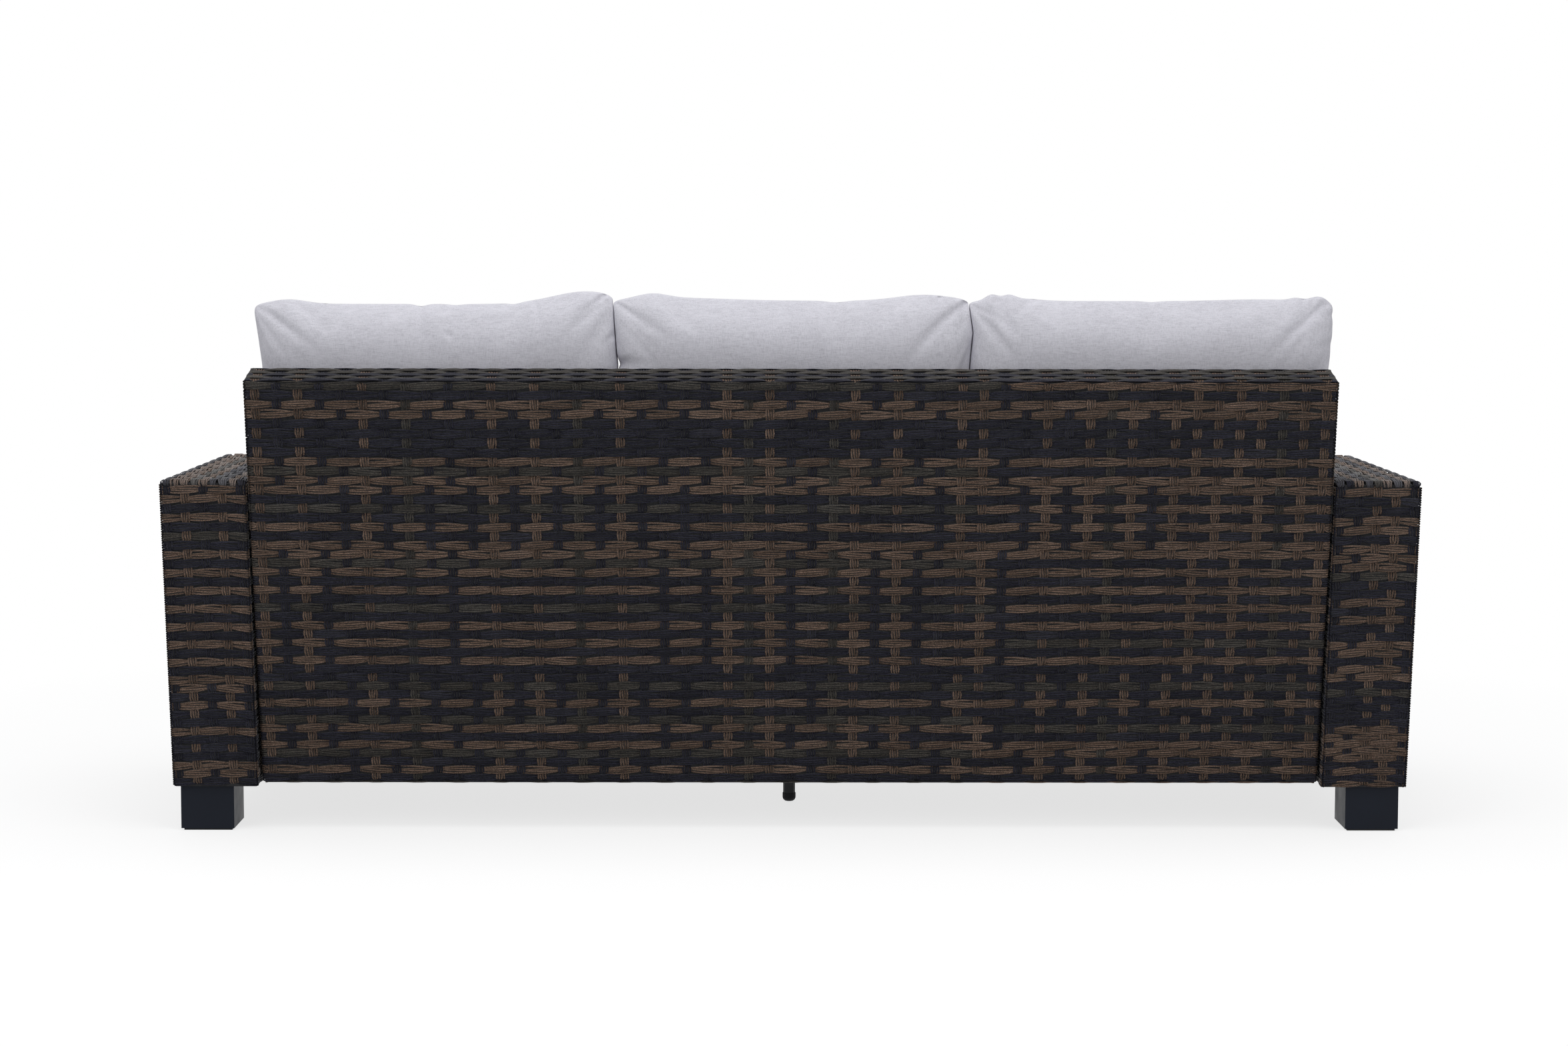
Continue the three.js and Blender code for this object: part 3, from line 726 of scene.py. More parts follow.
@dataclass
class Loom:
    """Lays the stitches of one woven face in the flat, weaves them and wraps them on the face."""

    gauge: Gauge
    pitch: float
    seed: int
    # painted sheen: added to every stitch's tone, which the strand finish turns paler and brighter
    faded: float = 0.0
    stray: float = 0.22 * MM
    turn: float = 0.006
    stake_reach: float = 0.8
    least_run: float = 6 * MM
    shy: float = 4 * MM
    clear: float = 2 * MM
    corner_reach: float = 12 * MM
    laid: dict[Dye, list[tuple]] = field(default_factory=dict)

    def __post_init__(self) -> None:
        """Start the face's own random stream."""
        self.chance = random.Random(self.seed)

    def put(self, dye: Dye, choices: tuple[Stitch, ...], a: float, s: float,
            heading: float, span: float) -> None:
        """Lay one stitch.

        Args:
            dye: its colour.
            choices: the variants to pick from.
            a: its place along the row.
            s: its place along the stakes.
            heading: the turn of its length, in radians from the row's direction.
            span: its half length for a full stitch, or its length for an end.
        """
        stitch = self.chance.choice(choices)
        shift = self.chance.gauss(0.0, self.stray)
        wobble = self.chance.gauss(0.0, self.turn)
        # the stitch's random tone, raised by the painted sheen where the loom has it
        tone = self.chance.random() + self.faded
        row = (a, s + shift, stitch.value, heading + wobble, span, tone)
        self.laid.setdefault(dye, []).append(row)

    def lay_lengthwise(self, course: Course) -> None:
        """Lay one row that runs along s over stakes that run along a, each bundle tucked at both ends.

        Args:
            course: the row.
        """
        shown = [s for k, s in enumerate(course.stakes) if k % 2 == course.shown]
        for k, s in enumerate(course.stakes):
            if k % 2 == course.shown:
                self.put(course.stake_dyes[k], STAKES, course.s, s, 0.0, self.pitch * self.stake_reach)
        ends = [course.first, *shown, course.last]
        for here, there in zip(ends, ends[1:]):
            if there - here > self.least_run:
                self.put(course.dye, OVERS, course.s, (here + there) / 2, math.pi / 2, (there - here) / 2)

    def lay(self, course: Course) -> None:
        """Lay one row: stakes where they show, and the bundle over those that don't.

        Args:
            course: the row.
        """
        if course.lengthwise:
            self.lay_lengthwise(course)
            return
        radius = self.gauge.corner_radius
        begin = course.first + (radius if course.turn_first else 0.0)
        end = course.last - (radius if course.turn_last else 0.0)
        inside = [(k, a) for k, a in enumerate(course.stakes)
                  if begin + self.clear < a < end - self.clear]
        for position, (k, a) in enumerate(inside):
            if k % 2 == course.shown:
                self.put(course.stake_dyes[k], STAKES, a, course.s, math.pi / 2,
                         self.pitch * self.stake_reach)
                continue
            before = inside[position - 1][1] if position > 0 else None
            after = inside[position + 1][1] if position + 1 < len(inside) else None
            dye = course.dye_at(a)
            if before is not None and after is not None:
                self.put(dye, OVERS, (before + after) / 2, course.s, 0.0, (after - before) / 2)
            elif after is not None:
                self.put(dye, ENDS, begin, course.s, 0.0, after - begin)
            elif before is not None:
                self.put(dye, ENDS, end, course.s, math.pi, end - before)
        if inside and inside[0][0] % 2 == course.shown:
            self.put(course.dye, ENDS, begin, course.s, 0.0, inside[0][1] - begin - self.shy)
        if inside and inside[-1][0] % 2 == course.shown:
            self.put(course.dye_at(end), ENDS, end, course.s, math.pi, end - inside[-1][1] - self.shy)
        if course.turn_first:
            dye = self.corner_dye(course, inside[0]) if inside else course.dye
            self.put(dye, (Stitch.TURN,), course.first, course.s, math.pi, 1.0)
        if course.turn_last:
            dye = self.corner_dye(course, inside[-1]) if inside else course.dye_at(end)
            self.put(dye, (Stitch.TURN,), course.last, course.s, 0.0, 1.0)

    def corner_dye(self, course: Course, nearest: tuple[int, float]) -> Dye:
        """Choose the colour seen on a corner: the row's, or that of a stake that shows right beside it.

        Args:
            course: the row.
            nearest: the number and the place of the stake nearest the corner.

        Returns:
            The colour.
        """
        number, a = nearest
        inset = min(a - course.first, course.last - a)
        at_corner = number % 2 == course.shown and inset < self.corner_reach
        return course.stake_dyes[number] if at_corner else course.dye_at(a)

    def weave(self, tree: Tree, dye: Dye, wrap: Callable[[np.ndarray], np.ndarray]) -> bpy.types.Mesh:
        """Weave the laid stitches of one colour and wrap them on the face.

        Args:
            tree: the weave's node group.
            dye: the colour.
            wrap: takes flat places (a, s, height) and gives places in the sofa's frame.

        Returns:
            The mesh, in place.
        """
        rows = self.laid[dye]
        points = bpy.data.meshes.new("laid_points")
        points.vertices.add(len(rows))
        places = [(row[0], row[1], 0.0) for row in rows]
        points.vertices.foreach_set("co", np.array(places, dtype=np.float32).ravel())
        for name, kind, column in (("stitch", "INT", 2), ("heading", "FLOAT", 3), ("span", "FLOAT", 4),
                                   ("tone", "FLOAT", 5)):
            attribute = points.attributes.new(name, kind, "POINT")
            attribute.data.foreach_set("value", [row[column] for row in rows])
        holder = bpy.data.objects.new("laid", points)
        bpy.context.scene.collection.objects.link(holder)
        modifier = holder.modifiers.new("weave", "NODES")
        modifier.node_group = tree
        set_inputs(modifier, {**self.gauge.inputs(), "Material": dye.finish().material()})
        view_layer = bpy.context.evaluated_depsgraph_get()
        mesh = bpy.data.meshes.new_from_object(holder.evaluated_get(view_layer))
        holder.modifiers.remove(modifier)
        bpy.data.objects.remove(holder)
        bpy.data.meshes.remove(points)
        flat = np.empty(len(mesh.vertices) * 3, dtype=np.float32)
        mesh.vertices.foreach_get("co", flat)
        wrapped = wrap(flat.reshape(-1, 3).astype(np.float64))
        mesh.vertices.foreach_set("co", wrapped.astype(np.float32).ravel())
        for name in ("stitch", "heading", "span"):
            if name in mesh.attributes:
                mesh.attributes.remove(mesh.attributes[name])
        mesh.update()
        return mesh


@dataclass(frozen=True)
class Profile:
    """A line with rounded corners, seen from the side: (y, z, radius) of each corner."""

    corners: tuple[tuple[float, float, float], ...]
    step: float = 0.5 * MM
    parts: int = 8
    blur: int = 5

    def samples(self) -> tuple[np.ndarray, np.ndarray]:
        """Walk the line.

        Returns:
            The distance of each sample from the start, and its (y, z).
        """
        points = [Vector(self.corners[0][:2])]
        for index in range(1, len(self.corners) - 1):
            here = Vector(self.corners[index][:2])
            back = (Vector(self.corners[index - 1][:2]) - here).normalized()
            ahead = (Vector(self.corners[index + 1][:2]) - here).normalized()
            radius = self.corners[index][2]
            half = back.angle(ahead) / 2
            trim = radius / math.tan(half)
            centre = here + (back + ahead).normalized() * (radius / math.sin(half))
            start = here + back * trim - centre
            sweep = math.pi - 2 * half
            side = math.copysign(1.0, back.x * ahead.y - back.y * ahead.x)
            for part in range(self.parts + 1):
                angle = -side * sweep * part / self.parts
                turned = Vector((start.x * math.cos(angle) - start.y * math.sin(angle),
                                 start.x * math.sin(angle) + start.y * math.cos(angle)))
                points.append(centre + turned)
        points.append(Vector(self.corners[-1][:2]))
        places = np.array([tuple(point) for point in points])
        gaps = np.hypot(*np.diff(places, axis=0).T)
        return np.concatenate([[0.0], np.cumsum(gaps)]), places

    def length_to(self, corner: int) -> float:
        """Measure to a corner.

        Args:
            corner: its number.

        Returns:
            The distance from the start to the middle of the corner.
        """
        distance, places = self.samples()
        target = np.array(self.corners[corner][:2])
        return float(distance[np.argmin(np.hypot(*(places - target).T))])

    def wrap(self, s: np.ndarray, height: np.ndarray) -> tuple[np.ndarray, np.ndarray]:
        """Take places along the line and their heights over it to y and z.

        Args:
            s: distances along the line.
            height: distances out from it, to the left of its direction turned clockwise.

        Returns:
            The y and the z of each place.
        """
        distance, places = self.samples()
        fine = np.linspace(0.0, distance[-1], max(2, int(distance[-1] / self.step)))
        line_y = np.interp(fine, distance, places[:, 0])
        line_z = np.interp(fine, distance, places[:, 1])
        slope_y = np.gradient(line_y, fine)
        slope_z = np.gradient(line_z, fine)
        kernel = np.ones(self.blur) / self.blur
        slope_y = np.convolve(np.pad(slope_y, self.blur // 2, mode="edge"), kernel, "valid")
        slope_z = np.convolve(np.pad(slope_z, self.blur // 2, mode="edge"), kernel, "valid")
        size = np.hypot(slope_y, slope_z)
        out_y = slope_z / size
        out_z = -slope_y / size
        y = np.interp(s, fine, line_y) + height * np.interp(s, fine, out_y)
        z = np.interp(s, fine, line_z) + height * np.interp(s, fine, out_z)
        return y, z


def dyes(order: str, count: int) -> tuple[Dye, ...]:
    """Read an order of colours, repeated as often as needed.

    Args:
        order: one letter for each row or stake.
        count: how many are wanted.

    Returns:
        The colours.
    """
    return tuple(Dye(order[index % len(order)]) for index in range(count))


def spread(first: float, last: float, count: int) -> tuple[float, ...]:
    """Evenly spaced places from first to last."""
    return tuple(first + (last - first) * index / (count - 1) for index in range(count))


def draw_in(node: str, depth: float, name: str, lowest: float = 1 * MM) -> bpy.types.Mesh:
    """Copy a woven skin's solid with its outer faces drawn in, as the near-black sheet of painted shade
    behind the strands.

    The lowest face goes in by only a millimetre, so that no light shows under the hem.

    Args:
        node: the CAD node.
        depth: how far its outer faces go in.
        name: the copy's name.
        lowest: how far its lowest face goes in.

    Returns:
        The lining's mesh.
    """
    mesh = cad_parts[node].data.copy()
    mesh.name = name
    shape = bmesh.new()
    shape.from_mesh(mesh)
    bmesh.ops.remove_doubles(shape, verts=shape.verts, dist=0.01 * MM)
    shape.normal_update()
    places = np.array([tuple(vertex.co) for vertex in shape.verts])
    moves: dict[int, list[Vector]] = {}
    for face in shape.faces:
        normal = np.array(tuple(face.normal))
        reach = (places - np.array(tuple(face.verts[0].co))) @ normal
        if reach.max() < 0.3 * MM:
            for vertex in face.verts:
                moves.setdefault(vertex.index, []).append(face.normal.copy())
    shape.verts.ensure_lookup_table()
    for index, normals in moves.items():
        rows = np.array([tuple(normal) for normal in normals])
        shift, *_ = np.linalg.lstsq(rows, np.full(len(rows), -depth), rcond=0.05)
        shape.verts[index].co += Vector(shift)
        if places[index][2] < places[:, 2].min() + 0.1 * MM:
            shape.verts[index].co.z = places[index][2] + lowest
    shape.to_mesh(mesh)
    shape.free()
    mesh.materials.clear()
    # painted shade: a near-black sheet where the hollow behind the weave would be in shade
    mesh.materials.append(PAINTED_SHADE.material())
    return mesh


def smooth_wave(a: np.ndarray, s: np.ndarray, size: float, phase: float) -> np.ndarray:
    """The slow drift of hand-laid rows.

    Args:
        a: places along the rows.
        s: places along the stakes.
        size: the most that a row strays.
        phase: where the waves start.

    Returns:
        How far each place moves along the stakes.
    """
    slow = np.sin(a * 9.0 + phase + s * 3.0)
    quick = np.sin(a * 41.0 + s * 17.0 + phase * 2.3)
    return size * (0.7 * slow + 0.3 * quick)


@dataclass
class WovenSkin:
    """One woven sub-assembly: it owns its looms and turns them into pieces."""

    weave: Tree
    name: str
    node: str
    pitch: float
    # how far in the sheet of painted shade lies
    lining_depth: float = 4.2 * MM
    top_pitch: float = 0.0
    narrowing: float = 0.0
    hem: float = 12 * MM
    hem_rows: float = 15 * MM
    hem_margin: float = 5 * MM
    hem_radius: float = 5 * MM
    end_margin: float = 4 * MM
    stake_margin: float = 17 * MM

    def down(self, row: int) -> float:
        """Place a row of the rear, whose rows were beaten closer lower down.

        Args:
            row: its number, 0 for the first row under the top edge.

        Returns:
            How far below the first row it lies.
        """
        if row < 0 or not self.top_pitch:
            return row * self.pitch
        return row * self.top_pitch - row * row * self.narrowing

    def pieces(self, loom: Loom, label: str, wrap: Callable[[np.ndarray], np.ndarray]) -> None:
        """Weave every colour of a loom as a piece of its own.

        Args:
            loom: the loom with its stitches laid.
            label: which face this is.
            wrap: takes flat places to the sofa's frame.
        """
        for dye in loom.laid:
            mesh = loom.weave(self.weave, dye, wrap)
            name = f"{self.name}_{label}_{dye.name.lower()}"
            mesh.name = name
            piece = add_piece(name, mesh, "frame")
            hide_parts(self.node)
            log.info("%s: %d faces", name, len(mesh.polygons))

    def line(self) -> None:
        """Add the near-black sheet of painted shade behind the strands."""
        mesh = draw_in(self.node, self.lining_depth, f"{self.name}_lining")
        piece = add_piece(f"{self.name}_lining", mesh, "frame")
        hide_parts(self.node)


@dataclass
class BackPanel(WovenSkin):
    """The leaning back panel: woven up the rear, over the top and down the front."""

    edge_radius: float = 6 * MM
    stake_count: int = 51
    rear_rows: int = 48
    over_rows: int = 60
    first_course: float = 7.3 * MM
    course_order: str = ("o" + "cbb" + "cccc" + "bobb" + "cocb" + "cbbobcb" + "cocbcbcbc"
                         + "cocbcobcboc" + "bc")
    joined_order: str = ("b" + "cbb" + "cccc" + "bcbb" + "cbcb" + "cbbcbcb" + "cbcbcocbcc"
                         + "ocbcc" + "ocbbcbc")
    join_stake: int = 35
    join_shift: float = 5 * MM
    top_order: str = "cocoo" + "cbcobcbbco"
    end_order: str = "cbc"
    end_stakes: tuple[float, ...] = (18 * MM, 39.5 * MM, 61 * MM)
    end_depth: float = 240 * MM
    end_step: float = 2 * MM
    drift: float = 0.9 * MM
    drift_start: float = 0.4
    stake_order: str = "bcbccbcocccbcbcocbcc" + "ccbobccobcbc" + "cbbccbcbobcbbbbbobb"

    def profile(self) -> Profile:
        """Draw the line that the rows are laid along: rear hem, rear, top, front, front hem.

        Returns:
            The line.
        """
        low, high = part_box(self.node)
        rear_top = (high[1], BACK_TOP)
        drop = rear_top[1] - low[2]
        rear_foot = (rear_top[0] - drop * math.tan(BACK_LEAN), low[2])
        front_top = (rear_top[0] - BACK_THICKNESS * math.cos(BACK_LEAN),
                     rear_top[1] + BACK_THICKNESS * math.sin(BACK_LEAN))
        front_foot = (low[1], low[2])
        return Profile(((rear_foot[0] - self.hem, low[2], 0.0), (*rear_foot, self.hem_radius),
                        (*rear_top, self.edge_radius), (*front_top, self.edge_radius),
                        (*front_foot, self.hem_radius), (front_foot[0] + self.hem, low[2], 0.0)))

    def build(self) -> None:
        """Weave the rear with its top, the front, and the ends that show over the arms."""
        self.line()
        low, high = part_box(self.node)
        width = high[0] - low[0]
        profile = self.profile()
        crease = profile.length_to(2)
        total = float(profile.samples()[0][-1])
        top_rows = int(round((profile.length_to(3) - crease) / self.pitch))
        stakes = spread(self.stake_margin, width - self.stake_margin, self.stake_count)
        stake_dyes = dyes(self.stake_order, self.stake_count)
        rear_dyes = dyes(self.course_order, self.rear_rows)
        joined_dyes = dyes(self.joined_order, self.rear_rows)
        join = stakes[self.join_stake] - self.join_shift
        over_dyes = dyes(self.top_order, self.over_rows)
        rear = Loom(FINE_GAUGE, self.pitch, seed=11)
        front = Loom(PLAIN_GAUGE, self.pitch, seed=12)
        ends = (Loom(PLAIN_GAUGE, self.pitch, seed=13), Loom(PLAIN_GAUGE, self.pitch, seed=14))
        for row in range(-self.over_rows, self.rear_rows):
            s = crease - self.first_course - self.down(row)
            if not self.end_margin < s < total - self.end_margin:
                continue
            dye = rear_dyes[row] if row >= 0 else over_dyes[-row - 1]
            joined = joined_dyes[row] if row >= 0 else None
            hemmed = s < self.hem_rows or s > total - self.hem_rows
            margin = self.hem_margin if hemmed else 0.0
            loom = rear if row >= -top_rows else front
            loom.lay(Course(s, margin, width - margin, stakes, (row + 1) % 2, dye, stake_dyes,
                            not hemmed, not hemmed, False, join, joined))
            depth = crease - s
            if row >= 0 and depth < self.end_depth:
                for end in ends:
                    end.lay(Course(-depth, 0.0, BACK_THICKNESS, self.end_stakes, row % 2, dye,
                                   dyes(self.end_order, len(self.end_stakes)), False, False))

        def on_band(flat: np.ndarray) -> np.ndarray:
            """Wrap the band's flat places round the panel.

            Args:
                flat: the flat places (a, s, height).

            Returns:
                Their places on the panel.
            """
            s = flat[:, 1] + smooth_wave(flat[:, 0], flat[:, 1], self.drift, self.drift_start)
            y, z = profile.wrap(s, flat[:, 2])
            return np.stack([high[0] - flat[:, 0], y, z], axis=1)

        self.pieces(rear, "rear", on_band)
        self.pieces(front, "front", on_band)
        sides = (("left_end", 1.0, high[0]), ("right_end", -1.0, low[0]))
        for loom, (label, side, x) in zip(ends, sides):
            self.pieces(loom, label, self.end_wrap(side, x, high[1]))

    def end_wrap(self, side: float, x: float, rear_y: float) -> Callable[[np.ndarray], np.ndarray]:
        """Make the function that lays a flat face on one end of the panel.

        Args:
            side: 1 for the end that faces +X, -1 for the other.
            x: where the end is.
            rear_y: the y of the panel's rear top edge.

        Returns:
            The wrapping function.
        """
        def wrap(flat: np.ndarray) -> np.ndarray:
            """Lay flat places on the end face.

            Args:
                flat: the flat places (a, s, height).

            Returns:
                Their places on the end.
            """
            from_rear = BACK_THICKNESS - flat[:, 0] if side > 0 else flat[:, 0]
            rise = press(flat[:, 1], -self.end_step, True, SHOULDER)
            y = rear_y - from_rear * math.cos(BACK_LEAN) + rise * math.sin(BACK_LEAN)
            z = BACK_TOP + from_rear * math.sin(BACK_LEAN) + rise * math.cos(BACK_LEAN)
            return np.stack([x + side * flat[:, 2], y, z], axis=1)
        return wrap


@dataclass
class Arm(WovenSkin):
    """A box arm: rows wrap its rear, top and rounded front, and run along its two flanks."""

    side: float = 1.0
    lean: float = math.radians(9.4)
    front_radius: float = 100 * MM
    edge_radius: float = 6 * MM
    stake_inset: float = 10.3 * MM
    stake_count: int = 5
    flank_stakes: int = 21
    most_rows: int = 60
    column_count: int = 9
    edge_column: float = 8.2 * MM
    first_course: float = 12 * MM
    droop: float = 2.6 * MM
    hem: float = 11 * MM
    hem_rows: float = 14 * MM
    top_inset: float = 12 * MM
    column_end: float = 7 * MM
    column_reach: float = 8 * MM
    edge_stake: float = 0.5 * MM
    edge_stake_reach: float = 9 * MM
    # painted sheen on the arm top, standing in for the white surroundings reflected at a grazing angle
    top_faded: float = 0.9
    band_drift: float = 0.5 * MM
    flank_drift: float = 0.6 * MM
    droop_start: float = 8 * MM
    droop_run: float = 20 * MM
    droop_centre: float = 0.4
    arch_run: float = 9 * MM
    least_arch: float = 0.15
    roof_gap: float = 2.5 * MM
    foot_gap: float = 1.5 * MM
    course_order: str = "bbcbcoc" + "bcbcbcbcbcbcbcb" + "bcbc" + "cbcccbbc"
    top_order: str = "cbbobccbc"
    stake_order: str = "cbcbc"
    flank_order: str = "cbccbcobcc"

    def corners(self) -> tuple[float, float, float, float, float]:
        """Measure the arm's side.

        Returns:
            Its rear foot, rear top and front in Y, its underside and its top.
        """
        low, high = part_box(self.node)
        rise = high[2] - low[2]
        return high[1] - rise * math.tan(self.lean), high[1], low[1], low[2], high[2]

    def profile(self) -> Profile:
        """Draw the line that the rows are laid along: rear hem, rear, top, front, front hem.

        Returns:
            The line.
        """
        foot, rear, front, low, high = self.corners()
        return Profile(((foot - self.hem, low, 0.0), (foot, low, self.hem_radius),
                        (rear, high, self.edge_radius), (front, high, self.front_radius),
                        (front, low, self.hem_radius), (front + self.hem, low, 0.0)))

    def course_heights(self) -> list[float]:
        """Place the rows of the rear face.

        Returns:
            The height of each row, from the top down.
        """
        low, high = self.corners()[3:]
        first = high - self.first_course * math.cos(self.lean)
        heights = [first - self.down(row) * math.cos(self.lean) for row in range(self.most_rows)]
        return [height for height in heights if height > low + self.hem_margin]

    def build(self) -> None:
        """Weave the band round the arm, and its two flanks."""
        self.line()
        low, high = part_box(self.node)
        width = high[0] - low[0]
        underside, top = self.corners()[3:]
        profile = self.profile()
        crease = profile.length_to(2)
        total = float(profile.samples()[0][-1])
        heights = self.course_heights()
        rear_dyes = dyes(self.course_order, len(heights) + 2)
        stakes = spread(self.stake_inset, width - self.stake_inset, self.stake_count)
        stake_dyes = dyes(self.stake_order, self.stake_count)
        band = Loom(FINE_GAUGE, self.pitch, seed=21 if self.side > 0 else 31)
        plan: list[tuple[float, int, Dye]] = []
        for row, dye in enumerate(rear_dyes):
            plan.append((crease - self.first_course - self.down(row), row, dye))
        front_straight = total - self.hem - (top - self.front_radius - underside)
        self.weave_top(profile, crease, front_straight)
        for index, height in enumerate(heights):
            if height < top - self.front_radius:
                s = total - self.hem - (height - underside)
                if s > front_straight + self.pitch * 0.2:
                    plan.append((s, index, rear_dyes[index]))
        for s, parity, dye in plan:
            if self.end_margin < s < total - self.end_margin:
                hemmed = s < self.hem_rows or s > total - self.hem_rows
                margin = self.hem_margin if hemmed else 0.0
                band.lay(Course(s, margin, width - margin, stakes, parity % 2, dye, stake_dyes,
                                not hemmed, not hemmed))

        def on_band(flat: np.ndarray) -> np.ndarray:
            """Wrap the band's flat places round the arm, with rows that sink to the edges.

            Args:
                flat: the flat places (a, s, height).

            Returns:
                Their places on the arm.
            """
            edge = np.clip(np.abs(2 * flat[:, 0] / width - 1), 0.0, 1.0)
            rear_part = np.clip((crease - self.droop_start - flat[:, 1]) / self.droop_run, 0.0, 1.0)
            sink = self.droop * (edge ** 2 - self.droop_centre) * rear_part
            s = flat[:, 1] - sink + smooth_wave(flat[:, 0], flat[:, 1], self.band_drift, self.side)
            y, z = profile.wrap(s, flat[:, 2])
            return np.stack([high[0] - flat[:, 0], y, z], axis=1)

        self.pieces(band, "band", on_band)
        for facing, x in ((1.0, high[0]), (-1.0, low[0])):
            outer = facing == self.side
            gauge = FINE_GAUGE if outer else PLAIN_GAUGE
            loom = Loom(gauge, self.pitch, seed=41 + int(facing) + int(2 * self.side))
            self.lay_flank(loom, heights, rear_dyes, facing)
            self.pieces(loom, "outer_flank" if outer else "inner_flank", self.flank_wrap(facing, x))

    def weave_top(self, profile: Profile, crease: float, last: float) -> None:
        """Weave the top, whose rows run fore and aft over stakes that come up from the flanks.

        Args:
            profile: the line round the arm.
            crease: how far along it the rear top edge is.
            last: how far along it the rounded front ends.
        """
        low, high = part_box(self.node)
        width = high[0] - low[0]
        stakes = spread(crease + self.stake_margin, last - self.top_inset, self.flank_stakes + 2)
        stake_dyes = dyes(self.flank_order, len(stakes))
        columns = spread(self.edge_column, width - self.edge_column, self.column_count)
        column_dyes = dyes(self.top_order, self.column_count)
        # the top's stitches carry the painted sheen
        loom = Loom(TOP_GAUGE, self.pitch, seed=61 if self.side > 0 else 71, faded=self.top_faded)
        for number, a in enumerate(columns):
            loom.lay(Course(a, crease - self.column_end, last + self.column_reach, stakes, number % 2,
                            column_dyes[number], stake_dyes, False, False, True))
        for k, s in enumerate(stakes):
            for a in (self.edge_stake, width - self.edge_stake):
                loom.put(stake_dyes[k], STAKES, a, s, 0.0, self.edge_stake_reach)
        round_edge = self.edge_radius

        def on_top(flat: np.ndarray) -> np.ndarray:
            """Wrap the top's flat places over the arm and round its two long edges.

            Args:
                flat: the flat places (a, s, height).

            Returns:
                Their places on the arm.
            """
            base_y, base_z = profile.wrap(flat[:, 1], np.zeros(len(flat)))
            tip_y, tip_z = profile.wrap(flat[:, 1], np.ones(len(flat)))
            inward = np.minimum(flat[:, 0], width - flat[:, 0])
            arch = np.clip((inward + SHOULDER) / self.arch_run, self.least_arch, 1.0)
            height = np.where(flat[:, 2] > 0, flat[:, 2] * arch, flat[:, 2])
            past = np.maximum(0.0, round_edge - inward)
            angle = np.minimum(past / round_edge, math.pi / 2)
            sunk = round_edge * (1 - np.cos(angle)) + np.maximum(0.0, past - round_edge * math.pi / 2)
            from_edge = np.where(past > 0, round_edge * (1 - np.sin(angle)), inward)
            rise = height * np.cos(angle) - sunk
            from_edge = from_edge - height * np.sin(angle)
            a = np.where(flat[:, 0] < width / 2, from_edge, width - from_edge)
            return np.stack([high[0] - a, base_y + (tip_y - base_y) * rise, base_z + (tip_z - base_z) * rise],
                            axis=1)

        self.pieces(loom, "top", on_top)

    def lay_flank(self, loom: Loom, heights: list[float], rear_dyes: tuple[Dye, ...], facing: float) -> None:
        """Lay a flank's rows at the heights of the rear face's rows.

        Args:
            loom: the flank's loom.
            heights: the rows' heights.
            rear_dyes: their colours.
            facing: 1 for the flank that faces +X, -1 for the other.
        """
        foot, rear, front, underside, top = self.corners()
        length = rear - front
        stakes = spread(self.stake_margin, length - self.stake_margin, self.flank_stakes)
        stake_dyes = dyes(self.flank_order, self.flank_stakes)
        for row, height in enumerate(heights):
            over_arc = height - (top - self.front_radius)
            cut = 0.0
            if over_arc > 0:
                cut = self.front_radius - math.sqrt(max(0.0, self.front_radius ** 2 - over_arc ** 2))
            rear_here = foot + (height - underside) * math.tan(self.lean)
            share = length / (rear_here - front)
            first = cut * share if facing > 0 else 0.0
            last = length if facing > 0 else length - cut * share
            loom.lay(Course(height, first, last, stakes, (row + 1) % 2, rear_dyes[row], stake_dyes,
                            False, False))

    def flank_wrap(self, facing: float, x: float) -> Callable[[np.ndarray], np.ndarray]:
        """Make the function that fans a flat face out on a flank.

        Args:
            facing: 1 for the flank that faces +X, -1 for the other.
            x: where the flank is.

        Returns:
            The wrapping function.
        """
        foot, rear, front, underside, top = self.corners()
        length = rear - front

        def wrap(flat: np.ndarray) -> np.ndarray:
            """Lay flat places on the flank, between its leaning rear edge and its front, under the arc.

            Args:
                flat: the flat places (a, s, height).

            Returns:
                Their places on the flank.
            """
            z = flat[:, 1] + smooth_wave(flat[:, 0], flat[:, 1], self.flank_drift, facing)
            z = press(z, top - self.roof_gap, True, SHOULDER)
            z = press(z, underside + self.foot_gap, False, SHOULDER)
            rear_here = foot + (z - underside) * math.tan(self.lean)
            share = flat[:, 0] / length if facing > 0 else 1 - flat[:, 0] / length
            y = front + share * (rear_here - front)
            along = np.clip((y - front) / self.front_radius, 0.02, 1.0)
            roof = top - self.front_radius * (1 - np.sqrt(1 - (1 - along) ** 2))
            z = press(z, roof - self.roof_gap, True, SHOULDER)
            return np.stack([x + facing * flat[:, 2], y, z], axis=1)
        return wrap


